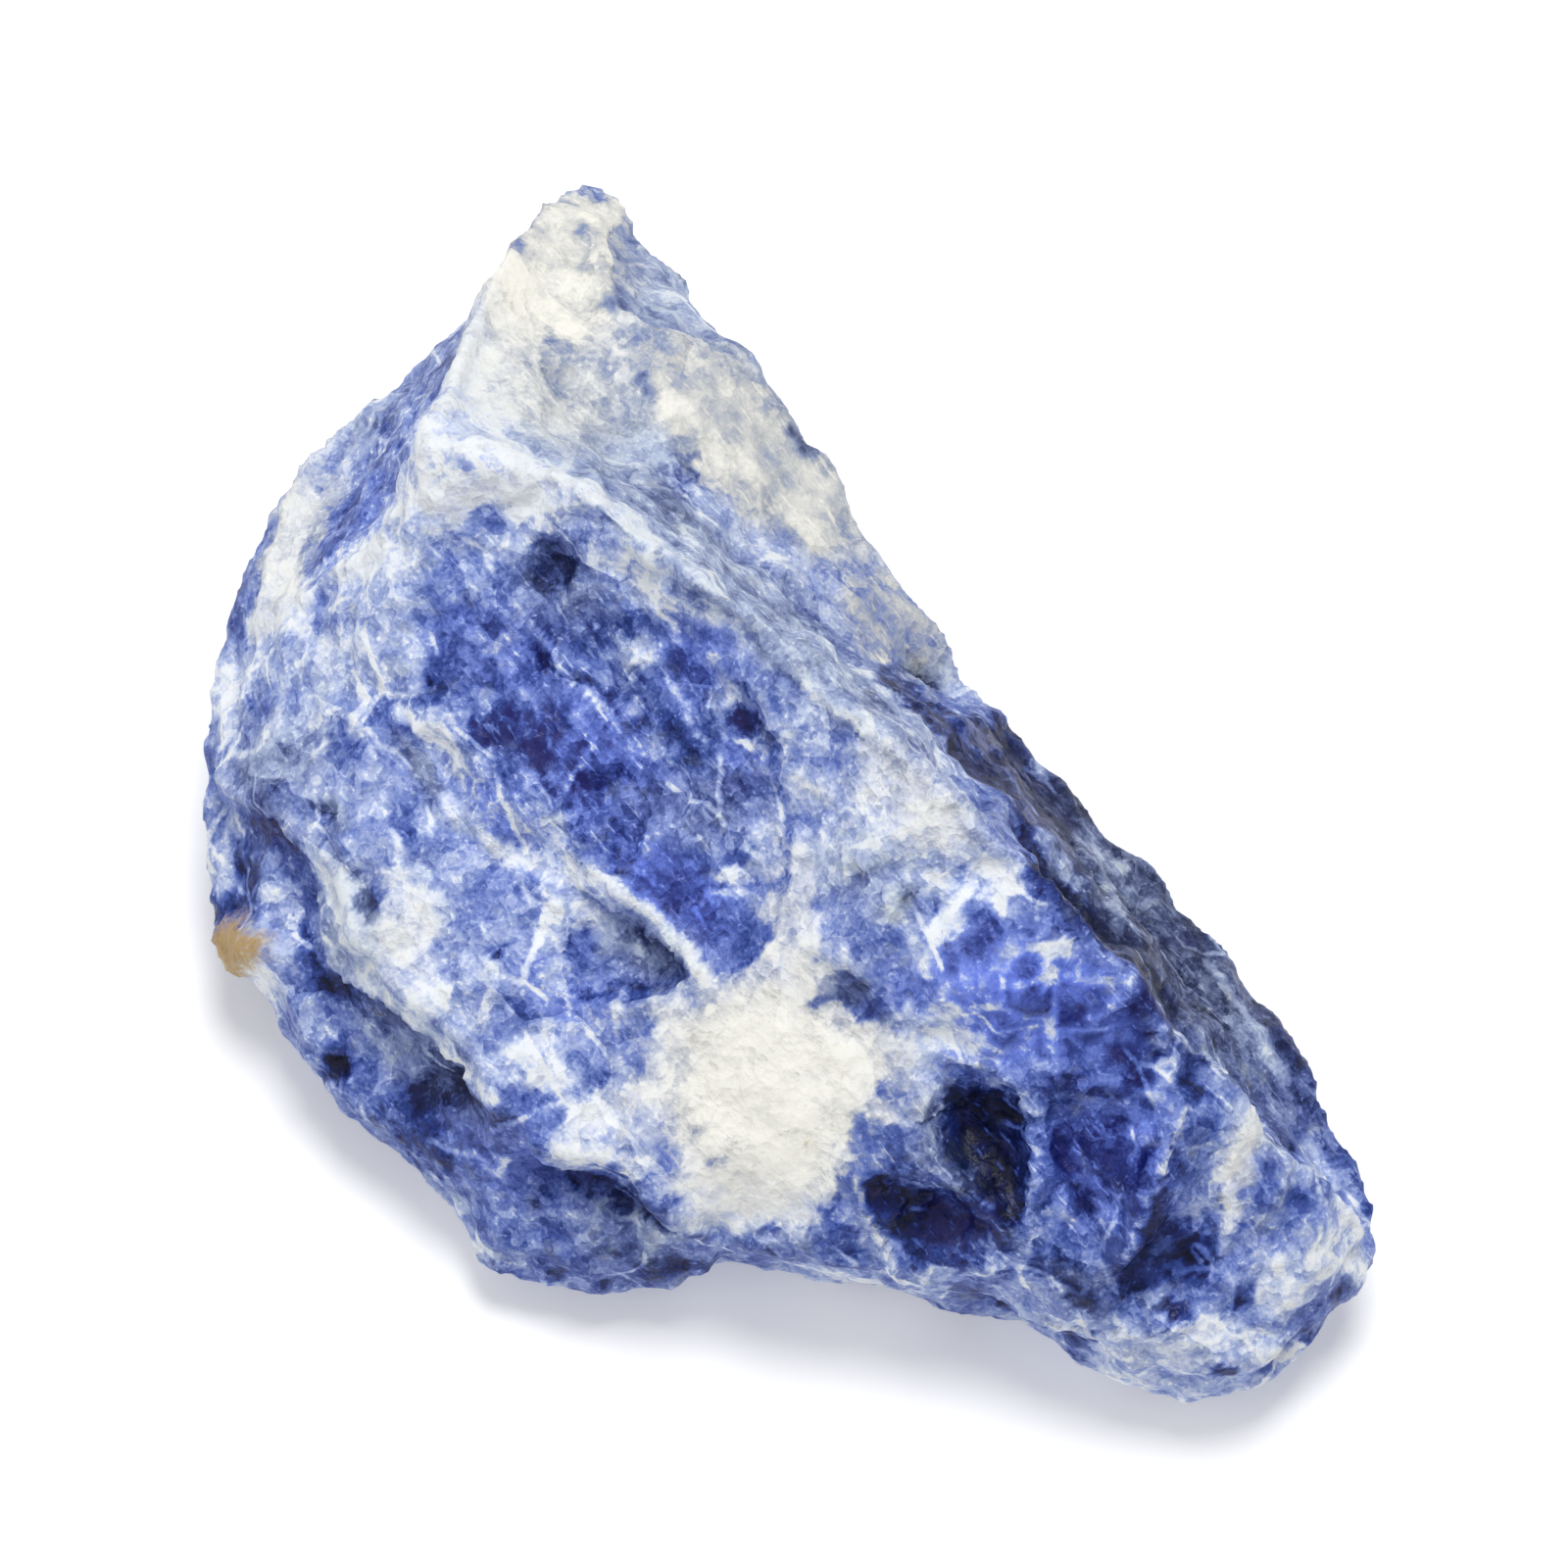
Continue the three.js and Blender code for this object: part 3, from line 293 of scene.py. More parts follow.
# right, down, half length, half width, turn clockwise if any, tone from 0 navy to 1 white;
# small ones lie on large ones
tones = [
    # tip and rim strip
    (346, 778, 22, 26, 20, 0.76), (326, 811, 10, 8, 0.92), (330, 792, 10, 16, 30, 0.9),
    (352, 762, 12, 8, 0.84), (354, 771, 4, 8, -20, 0.6), (345, 803, 18, 10, 0.84), (352, 790, 8, 8, 0.9),
    (371, 812, 7, 4, 30, 0.9), (368, 772, 5, 10, -20, 0.6), (376, 792, 11, 18, -35, 0.48),
    # crown face and shelf
    (352, 835, 42, 28, 25, 0.74), (415, 848, 52, 17, 45, 0.66), (362, 806, 16, 5, 25, 0.84),
    (320, 835, 13, 22, 0.9), (328, 830, 11, 9, 0.76), (345, 823, 10, 6, 0.74), (345, 812, 6, 3, 30, 0.5),
    (355, 818, 8, 3, 25, 0.62), (362, 829, 8, 6, 0.7), (374, 827, 5, 2.5, 30, 0.36), (340, 843, 9, 5, 0.78),
    (360, 846, 8, 6, 0.66), (368, 838, 9, 6, 0.7), (378, 842, 8, 6, 0.68), (386, 836, 9, 7, 20, 0.88),
    (389, 853, 5, 5, 0.5), (400, 850, 7, 6, 40, 0.88), (414, 856, 7, 6, 40, 0.88),
    (392, 860, 4, 3.5, 20, 0.38), (402, 859, 6, 4, 40, 0.8), (370, 858, 14, 7, 30, 0.76),
    (400, 870, 18, 8, 42, 0.72), (352, 856, 9, 4, 0.76), (400, 834, 12, 8, 40, 0.73),
    (430, 868, 14, 10, 45, 0.72), (395, 846, 6, 4, 0.8), (427, 895, 10, 13, 40, 0.84),
    # left flank
    (270, 860, 30, 44, 40, 0.72), (282, 850, 15, 22, 40, 0.6), (270, 835, 12, 8, -40, 0.76),
    (284, 844, 9, 7, 0.5), (275, 862, 7, 9, 35, 0.6), (269, 873, 6, 9, 35, 0.48),
    (263, 886, 5, 7, 30, 0.42), (296, 838, 6, 18, 25, 0.6), (290, 862, 8, 10, 0.7),
    (250, 872, 8, 20, 25, 0.88), (244, 900, 8, 16, 10, 0.9), (227, 903, 5, 17, 20, 0.42),
    (236, 915, 6, 8, 0.86), (290, 875, 9, 7, 0.95), (280, 888, 17, 8, -10, 0.97), (248, 908, 13, 11, 0.99),
    (268, 906, 12, 6, 0.76), (263, 920, 8, 8, 0.95), (293, 930, 4, 8, 0.7), (287, 897, 9, 6, 0.84),
    (290, 906, 10, 7, 0.68), (278, 918, 18, 6, 0.84), (231, 932, 9, 10, 0.76), (222, 935, 5, 7, 0.9),
    (225, 946, 7, 12, 0.86),
    # blue hollow, from the crown down
    (365, 945, 82, 48, 42, 0.46), (325, 866, 26, 8, 5, 0.96), (306, 870, 14, 10, 1.0),
    (313, 873, 6, 5, 1.0), (350, 872, 15, 5, 15, 1.0), (319, 875, 4, 2.5, 0.62), (313, 860, 3, 3, 0.66),
    (303, 889, 9, 6, 0.74), (304, 878, 7, 5, -45, 0.9), (302, 857, 8, 5, 0.95), (312, 893, 9, 8, 0.52),
    (325, 886, 7, 5, 0.56), (329, 902, 6, 6, 0.5), (346, 889, 11, 10, 0.22), (332, 883, 6, 5, 0.74),
    (338, 898, 8, 5, 0.2), (353, 887, 6, 5, 0.32), (352, 906, 11, 6, 20, 0.58), (360, 898, 7, 6, 0.68),
    (370, 893, 10, 7, 0.82), (385, 907, 9, 5, 20, 0.82), (366, 910, 9, 7, 0.54),
    (374, 902, 10, 5, 20, 0.74), (380, 896, 7, 6, 30, 0.88), (299, 905, 12, 8, 0.58),
    (313, 915, 9, 6, 0.46), (330, 914, 9, 7, 0.42), (345, 922, 9, 7, 0.33), (373, 924, 8, 6, 0.86),
    (381, 922, 7, 7, 0.58), (394, 922, 5, 9, 0.38), (401, 914, 9, 4, 30, 0.86), (420, 924, 9, 7, 0.46),
    (433, 932, 7, 8, 0.46), (406, 927, 7, 6, 0.62), (306, 934, 15, 11, 0.24), (323, 936, 8, 5, 0.38),
    (336, 934, 8, 8, 0.31), (352, 937, 8, 8, 60, 0.26), (365, 929, 6, 7, 0.64), (380, 938, 8, 6, 40, 0.38),
    (393, 934, 6, 9, -30, 0.32), (316, 942, 9, 3, 15, 0.52), (310, 950, 5, 5, 0.7),
    (322, 951, 14, 7, 10, 0.08), (338, 958, 12, 8, 45, 0.13), (328, 962, 8, 5, 45, 0.22),
    (345, 946, 6, 9, 0.24), (331, 941, 6, 3, 0.5), (350, 934, 8, 5, 0.3), (358, 948, 7, 8, 60, 0.4),
    (368, 947, 8, 8, 0.26), (377, 957, 8, 4, 20, 0.66), (388, 948, 9, 6, 40, 0.26), (397, 956, 7, 6, 0.34),
    (412, 949, 9, 9, 0.58), (412, 949, 6, 5, 0.24), (406, 940, 6, 8, 20, 0.9), (415, 961, 8, 8, 0.74),
    (426, 949, 6, 10, 0.56), (438, 949, 8, 9, 0.64), (445, 957, 8, 7, 0.66), (328, 972, 9, 6, 45, 0.26),
    (346, 971, 9, 8, 50, 0.46), (356, 968, 6, 8, 0.28), (368, 966, 9, 8, 40, 0.36), (385, 965, 8, 7, 0.44),
    (402, 981, 10, 8, 0.15), (410, 969, 7, 7, 0.44), (424, 972, 4, 8, 0.72), (436, 972, 9, 8, 0.86),
    (372, 977, 4, 3, 0.85), (362, 976, 4, 4, 0.6), (353, 988, 8, 5, 45, 0.44), (363, 987, 9, 7, 42, 0.4),
    (379, 985, 8, 5, 40, 0.52), (386, 994, 6, 7, 0.62), (393, 983, 8, 5, 0.4), (406, 985, 9, 7, 0.46),
    (420, 988, 7, 7, 0.76), (420, 998, 5, 7, 0.74), (376, 998, 12, 7, 42, 0.3), (390, 996, 8, 5, 0.4),
    (403, 1001, 8, 6, 0.36), (409, 1005, 5, 4, 0.86), (390, 1009, 20, 10, 42, 0.28),
    (403, 1017, 9, 8, 45, 0.44), (404, 1027, 9, 6, 40, 0.42), (416, 1024, 7, 9, 0.36),
    (414, 1031, 8, 6, 0.34), (348, 981, 4, 3, 20, 1.0),
    # pale left face, from the flank down
    (285, 990, 46, 62, 10, 0.65), (262, 930, 34, 12, 0.81), (275, 957, 12, 12, 0.44),
    (297, 967, 6, 12, 0.4), (293, 953, 8, 9, -20, 0.38), (254, 965, 7, 5, 0.42), (262, 944, 10, 6, 0.74),
    (245, 950, 14, 8, 0.68), (258, 950, 6, 5, 0.84), (241, 965, 12, 8, 0.5), (256, 972, 9, 6, 0.57),
    (268, 972, 8, 7, 0.54), (287, 977, 8, 9, 0.66), (263, 980, 7, 4, 0.26), (275, 986, 8, 6, 0.58),
    (254, 990, 6, 10, -30, 0.76), (291, 987, 6, 11, 0.48), (268, 994, 8, 5, 0.66), (282, 997, 8, 4, 0.6),
    (304, 992, 9, 8, 0.52), (298, 1002, 6, 7, 0.7), (268, 1015, 8, 17, -20, 0.84),
    (278, 1036, 12, 8, 40, 0.72), (279, 1011, 5, 8, 0.2), (293, 1008, 7, 10, 0.96),
    (289, 1028, 10, 12, 30, 0.95), (300, 1046, 9, 11, 40, 0.94), (301, 1016, 6, 10, 0.98),
    (314, 1016, 7, 10, 0.54), (320, 1007, 9, 6, 0.48), (322, 1016, 9, 8, 0.72), (320, 983, 10, 6, 20, 0.96),
    (332, 988, 8, 4, 30, 0.92), (335, 1015, 8, 7, 0.56), (330, 1022, 8, 5, 0.74), (310, 1032, 6, 8, 0.72),
    (305, 1046, 5, 7, 0.96), (335, 1031, 8, 5, 0.7), (320, 1038, 10, 4, 0.82), (324, 1029, 3, 3, 0.15),
    (333, 1053, 13, 8, 35, 0.5), (346, 1055, 12, 8, 30, 0.58), (317, 1054, 7, 7, 0.74),
    (362, 1055, 14, 7, 0.72), (310, 1059, 8, 5, 40, 0.62), (370, 1066, 12, 9, 30, 0.58),
    (354, 1070, 10, 7, 30, 0.48), (336, 1065, 10, 6, 20, 0.94), (344, 1075, 11, 5, 0.9),
    (323, 1071, 10, 4, 40, 0.76), (372, 1083, 13, 8, 0.94), (373, 1106, 7, 6, 0.84),
    (388, 1064, 9, 13, 0.86), (340, 1084, 9, 4, 10, 0.5), (340, 1091, 8, 7, 0.34),
    (361, 1089, 15, 8, 10, 0.96), (372, 1095, 9, 5, 0.94), (353, 1097, 8, 5, 20, 0.88),
    (361, 1103, 9, 4, 10, 0.94), (385, 1105, 6, 8, 0.56), (381, 1121, 9, 8, 20, 0.2),
    # pocket
    (371, 1030, 21, 14, 25, 0.54), (384, 1036, 8, 8, 0.4), (377, 1044, 11, 3.5, 0.2),
    (359, 1046, 8, 3, 10, 0.34), (354, 1027, 4, 7, 0.52), (368, 1034, 7, 4, 0.46),
    (362, 1011, 10, 4, 45, 0.56), (343, 1020, 5, 13, 10, 0.84), (356, 1017, 12, 7, 15, 0.9),
    (342, 1041, 7, 9, 0.86), (375, 1022, 9, 4, 0.34), (373, 1028, 4, 3, 0.76),
    # cream patch
    (412, 1078, 33, 35, 0.99), (440, 1068, 28, 11, 5, 0.98), (405, 1108, 22, 17, 0.97),
    (425, 1047, 15, 15, 0.97), (450, 1076, 13, 9, 0.97), (428, 1098, 16, 15, 0.98), (445, 1092, 6, 8, 0.94),
    (425, 1112, 14, 8, 0.97), (411, 1098, 5, 3, 0.66), (402, 1104, 4, 2, 0.7), (398, 1094, 4, 3, 0.78),
    (420, 1122, 21, 8, 8, 0.98), (436, 1116, 8, 7, 0.92), (396, 1118, 8, 5, 0.86),
    # white by the crest, grey-blue below it
    (470, 978, 34, 16, 42, 0.92), (447, 992, 20, 14, 0.82), (438, 996, 8, 8, 0.8), (463, 1006, 9, 6, 0.66),
    (453, 1011, 8, 8, 0.42), (455, 999, 4, 8, 0.6), (472, 1013, 7, 6, 0.36), (452, 969, 5, 6, 0.7),
    (487, 991, 8, 6, 0.95), (490, 1005, 6, 5, 0.66), (452, 1022, 16, 14, 0.58), (442, 1025, 4, 4, 0.42),
    (448, 1033, 6, 5, 0.66), (441, 1041, 5, 4, 0.6), (458, 1027, 9, 9, 0.42), (475, 1021, 5, 6, 0.42),
    (459, 954, 6, 7, 0.68), (433, 988, 6, 6, 0.5), (466, 1042, 6, 6, 0.36), (459, 1039, 5, 5, 0.36),
    (447, 1043, 9, 5, -20, 0.22), (438, 1047, 5, 3, -30, 0.42), (432, 1050, 7, 5, 0.9),
    (456, 1048, 8, 5, 0.42), (469, 1055, 7, 4, 0.74), (455, 1051, 8, 3, 10, 0.4),
    (460, 1060, 11, 6, 5, 0.95), (433, 1037, 8, 9, 1.0), (476, 1044, 5, 6, 0.48), (474, 1034, 4, 5, 0.9),
    (500, 1004, 8, 10, 0.97),
    # royal cells
    (510, 1045, 36, 20, 10, 0.42), (497, 1022, 5, 7, -15, 0.38), (505, 1026, 6, 7, 0.72),
    (488, 1031, 5, 7, 0.4), (482, 1024, 4, 9, 30, 0.88), (491, 1040, 4, 7, 0.54),
    (514, 1017, 6, 8, 30, 0.48), (519, 1028, 10, 4, 10, 0.94), (508, 1034, 6, 4, 0.48),
    (504, 1047, 7, 7, 0.22), (541, 1064, 10, 8, 0.22), (514, 1047, 5, 7, 0.3), (517, 1037, 3, 7, 0.8),
    (526, 1040, 6, 5, 0.5), (538, 1035, 9, 7, 15, 0.46), (527, 1052, 6, 7, 0.3), (538, 1048, 6, 7, 0.4),
    (508, 1060, 8, 4, 0.36), (528, 1060, 6, 4, 0.33), (481, 1050, 9, 8, 0.82), (484, 1058, 14, 6, 0.95),
    (470, 1065, 12, 5, 0.82), (496, 1066, 6, 4, 0.8), (513, 1069, 12, 4, 10, 0.5), (547, 1052, 8, 13, 0.18),
    (552, 1064, 8, 9, 0.14), (547, 1075, 8, 4, 0.2), (560, 1048, 8, 7, 0.9), (563, 1058, 6, 5, 0.64),
    (572, 1068, 7, 6, 0.42), (567, 1078, 6, 5, 0.28), (560, 1066, 5, 6, 0.36), (585, 1076, 8, 5, 20, 0.7),
    # scoops of the lower end
    (470, 1078, 11, 5, 0.66), (456, 1095, 10, 11, 0.48), (466, 1086, 10, 5, 0.84),
    (446, 1121, 8, 14, 20, 0.38), (445, 1132, 10, 6, 0.3), (494, 1085, 15, 11, 10, 0.08),
    (503, 1073, 8, 4, 0.6), (497, 1098, 18, 18, 0.03), (502, 1117, 13, 17, 0.02), (479, 1090, 6, 9, 0.34),
    (486, 1107, 11, 6, 35, 0.12), (460, 1115, 8, 6, 30, 0.05), (474, 1124, 20, 12, 30, 0.07),
    (475, 1104, 7, 4, 0.32), (490, 1130, 12, 9, 20, 0.12), (480, 1137, 13, 6, 10, 0.22),
    (494, 1136, 8, 5, 0.3), (452, 1127, 4, 13, -28, 0.66), (450, 1139, 14, 7, 10, 0.34),
    (432, 1132, 20, 4, 5, 0.52), (428, 1136, 18, 6, 5, 0.3), (404, 1124, 13, 5, 5, 0.96),
    (470, 1148, 10, 4, 0.5), (481, 1145, 5, 5, 0.78), (492, 1147, 8, 4, 0.5), (501, 1140, 9, 6, 0.44),
    (517, 1108, 4, 26, 0.27), (517, 1084, 6, 6, 0.44),
    # blade
    (540, 1104, 20, 26, 0.25), (536, 1080, 14, 5, -15, 0.36), (526, 1104, 5, 14, -18, 0.08),
    (531, 1116, 4, 8, -20, 0.18), (541, 1095, 8, 8, 0.22), (546, 1106, 7, 9, 0.2), (551, 1090, 7, 5, 0.42),
    (541, 1083, 12, 4, -5, 0.6), (536, 1126, 10, 7, 0.46), (544, 1121, 6, 7, 0.38), (545, 1133, 6, 6, 0.2),
    (530, 1136, 11, 5, 0.44), (514, 1138, 7, 5, 0.62), (563, 1105, 5, 10, 0.3),
    (554, 1128, 6, 16, 15, 0.06), (570, 1092, 7, 8, 0.38), (571, 1110, 7, 9, 0.46), (574, 1122, 7, 6, 0.62),
    (562, 1130, 8, 5, 0.2), (569, 1139, 14, 10, -10, 0.05), (553, 1146, 9, 8, 0.18),
    (545, 1142, 4, 8, 0.12), (556, 1156, 6, 5, 0.54), (565, 1157, 7, 4, 0.14), (573, 1149, 9, 5, 0.28),
    (520, 1142, 7, 4, 20, 0.14), (531, 1149, 8, 3, 35, 0.14), (525, 1153, 6, 4, 0.6),
    (512, 1150, 8, 5, 0.62), (507, 1158, 9, 3, 30, 0.3), (520, 1162, 9, 3, 25, 0.32),
    (535, 1158, 8, 3, 20, 0.74), (532, 1169, 7, 4, 30, 0.14),
    # blunt end
    (608, 1122, 26, 38, 15, 0.76), (560, 1172, 30, 9, 10, 0.84), (576, 1164, 14, 6, 0.88),
    (590, 1172, 12, 6, -20, 0.8), (565, 1183, 26, 5, 5, 0.76), (582, 1105, 7, 15, 10, 0.97),
    (590, 1095, 7, 8, 0.94), (583, 1121, 5, 8, 0.9), (590, 1122, 4, 8, 0.5), (592, 1086, 7, 5, 0.72),
    (595, 1112, 5, 11, 0.5), (608, 1106, 8, 8, 0.56), (610, 1118, 10, 9, -30, 0.48),
    (606, 1128, 8, 7, 0.66), (591, 1131, 8, 8, 0.64), (600, 1139, 9, 5, -20, 0.86), (590, 1143, 6, 7, 0.64),
    (613, 1140, 9, 7, 0.86), (626, 1126, 6, 11, 0.86), (630, 1140, 5, 7, 0.86), (602, 1152, 11, 7, 0.9),
    (588, 1154, 5, 6, 25, 0.26), (612, 1165, 5, 3, -20, 0.25), (603, 1169, 4, 3, 0.32),
    (621, 1153, 6, 3, -30, 0.3), (583, 1179, 3, 2, 0.15), (597, 1178, 6, 3, -30, 0.5),
    # wall and lobe at the lower left
    (228, 975, 9, 20, 0.6), (222, 1000, 5, 22, 0.66), (240, 985, 10, 9, 45, 0.2), (250, 996, 6, 8, 0.32),
    (231, 1003, 6, 12, 0.12), (228, 1013, 5, 5, 0.14), (242, 1022, 8, 14, 0.86),
    (256, 1010, 5, 12, -10, 0.34), (254, 1026, 6, 9, -20, 0.48), (258, 1034, 5, 7, 0.34),
    (238, 1037, 9, 6, 0.88), (242, 1046, 8, 8, 0.64), (263, 1041, 9, 5, 20, 0.18), (248, 1053, 6, 6, 0.46),
    (285, 1070, 40, 20, 42, 0.44), (284, 1050, 14, 8, 40, 0.24), (262, 1060, 8, 7, 0.48),
    (280, 1070, 12, 10, 0.5), (301, 1073, 14, 9, 40, 0.32), (315, 1079, 8, 4, 20, 0.12),
    (265, 1073, 6, 6, 0.0), (268, 1065, 4, 3, 0.2), (298, 1091, 9, 12, 0.17), (285, 1091, 8, 7, 0.42),
    (270, 1086, 9, 5, 40, 0.44), (290, 1103, 9, 4, 40, 0.38), (304, 1104, 5, 6, 0.12),
    (252, 1070, 6, 6, 0.5), (324, 1100, 17, 22, 0.5), (331, 1088, 11, 6, 0.22), (339, 1094, 5, 8, 0.4),
    (318, 1106, 8, 8, 0.45), (353, 1111, 10, 5, 20, 0.2), (339, 1110, 7, 5, 0.5),
    (362, 1115, 13, 5, 25, 0.16), (345, 1121, 10, 4, 0.4), (379, 1123, 11, 4, 40, 0.12),
    (395, 1131, 8, 4, 30, 0.18), (342, 1131, 20, 8, 0.58), (345, 1126, 10, 3, 0.62),
    (330, 1138, 8, 6, 0.55), (346, 1140, 6, 4, 0.42), (365, 1132, 10, 6, 0.52), (362, 1143, 15, 4, 0.5),
    (385, 1141, 9, 6, 0.25), (350, 1148, 16, 2, 0.66), (380, 1149, 12, 2, 0.5), (318, 1140, 4, 6, 0.66),
]

# path, width, tone: veins, lips, bands and dark lines
strokes = [
    ([(368, 776), (380, 792), (394, 808)], 14, 0.56), ([(363, 797), (380, 803)], 5, 0.34),
    ([(398, 812), (418, 828), (434, 844), (446, 858)], 6, 0.56), ([(428, 842), (436, 850)], 6, 0.3),
    ([(372, 780), (384, 794)], 4, 0.7), ([(376, 797), (392, 812)], 4, 0.46),
    ([(327, 785), (318, 805), (311, 830), (304, 850)], 13, 0.92),
    ([(303, 850), (325, 854), (345, 861)], 11, 0.96),
    ([(370, 806), (390, 820), (408, 838), (424, 856), (438, 876), (450, 895), (464, 915)], 15, 0.67),
    ([(448, 896), (466, 914), (484, 933)], 22, 0.61), ([(466, 929), (482, 934)], 4, 0.3),
    ([(358, 866), (382, 882), (407, 896), (432, 914)], 18, 0.53),
    ([(432, 914), (457, 937), (482, 962), (502, 990)], 14, 0.55),
    ([(366, 864), (395, 883), (430, 906)], 4, 0.72),
    ([(388, 886), (408, 902), (420, 912), (434, 928)], 2, 0.46),
    ([(412, 886), (440, 908), (470, 937)], 3, 0.6), ([(430, 913), (456, 932), (482, 954)], 3, 0.78),
    # the first below is a dark line in the gap by the shelf: navy, deepened with painted shadow
    ([(462, 932), (490, 956), (515, 985), (538, 1010)], 7, 0.24), ([(455, 946), (481, 974)], 2, 0.82),
    ([(340, 859), (356, 867), (370, 877), (384, 889)], 6, 0.9), ([(384, 889), (398, 900)], 4, 0.7),
    ([(396, 899), (412, 909), (424, 920), (436, 936)], 2.5, 0.78),
    ([(436, 936), (450, 949), (468, 965), (486, 981), (504, 999)], 4, 0.8),
    # side between the crest and the outline: dark navy, deepened with painted shadow
    ([(500, 958), (522, 982)], 26, 0.08), ([(530, 990), (552, 1014), (575, 1040)], 40, 0.12),
    ([(575, 1040), (598, 1070)], 26, 0.14), ([(596, 1072), (610, 1094)], 13, 0.74),
    ([(490, 950), (515, 985), (535, 1010)], 10, 0.22),
    ([(512, 1004), (532, 1018), (549, 1034), (562, 1052)], 9, 0.06), ([(515, 990), (530, 1008)], 4, 0.62),
    ([(532, 996), (545, 1018)], 4, 0.46),
    ([(536, 992), (554, 1014), (574, 1044), (592, 1070), (608, 1096)], 14, 0.37),
    ([(578, 1034), (590, 1052), (604, 1076)], 3, 0.66), ([(560, 1036), (578, 1062)], 7, 0.3),
    ([(562, 1008), (586, 1038), (609, 1072), (627, 1106), (635, 1124)], 6, 0.22),
    ([(610, 1080), (624, 1106)], 7, 0.34),
    # lip and the strip below it
    ([(303, 957), (316, 971), (331, 986), (346, 998)], 16, 0.74),
    ([(305, 962), (318, 978), (332, 992)], 2, 0.64), ([(313, 962), (328, 978)], 3, 0.54),
    ([(328, 978), (343, 992)], 3, 0.78), ([(290, 953), (296, 966), (303, 978)], 8, 0.4),
    ([(290, 944), (300, 951), (309, 958), (316, 967)], 4, 0.93),
    ([(306, 976), (315, 988), (328, 996), (342, 1001), (354, 1005)], 7, 0.9),
    ([(350, 999), (362, 1003), (373, 1011), (385, 1021), (395, 1032), (402, 1043)], 5, 0.93),
    ([(340, 1008), (354, 1017)], 4, 0.8), ([(402, 1043), (390, 1050), (372, 1053)], 4, 0.7),
    ([(260, 1000), (265, 1018), (271, 1034), (284, 1045), (300, 1058), (314, 1071), (326, 1082)], 3, 0.8),
    # hollow: scratches and facet borders
    ([(323, 895), (336, 913), (350, 933)], 1.5, 0.62), ([(348, 928), (360, 944), (373, 961)], 1.5, 0.58),
    ([(358, 958), (350, 970), (346, 982)], 2.5, 0.68), ([(374, 916), (386, 935), (398, 956)], 2, 0.68),
    ([(426, 935), (428, 955), (422, 978)], 3, 0.66), ([(402, 940), (406, 956), (412, 964)], 2, 0.66),
    ([(432, 994), (433, 1006), (430, 1018), (423, 1032), (414, 1041)], 8, 0.84),
    # right of the cream patch
    ([(478, 1023), (489, 1009), (496, 998)], 5, 0.98), ([(499, 1040), (499, 1056)], 2, 0.44),
    ([(521, 1040), (520, 1064)], 3, 0.66), ([(500, 1040), (520, 1040), (545, 1040)], 2, 0.66),
    ([(500, 1055), (520, 1056), (540, 1057)], 2, 0.64), ([(452, 1104), (475, 1103), (498, 1120)], 2, 0.4),
    ([(455, 1108), (480, 1109), (506, 1130)], 2, 0.24), ([(451, 1110), (457, 1125), (465, 1140)], 2, 0.86),
    ([(514, 1082), (516, 1106), (512, 1131)], 2, 0.42), ([(566, 1083), (563, 1093), (558, 1106)], 2.5, 0.8),
    ([(558, 1106), (553, 1120), (547, 1134)], 1.5, 0.6), ([(503, 1078), (512, 1080), (516, 1086)], 2, 0.6),
    ([(627, 1106), (634, 1126), (635, 1140)], 2, 0.42),
]

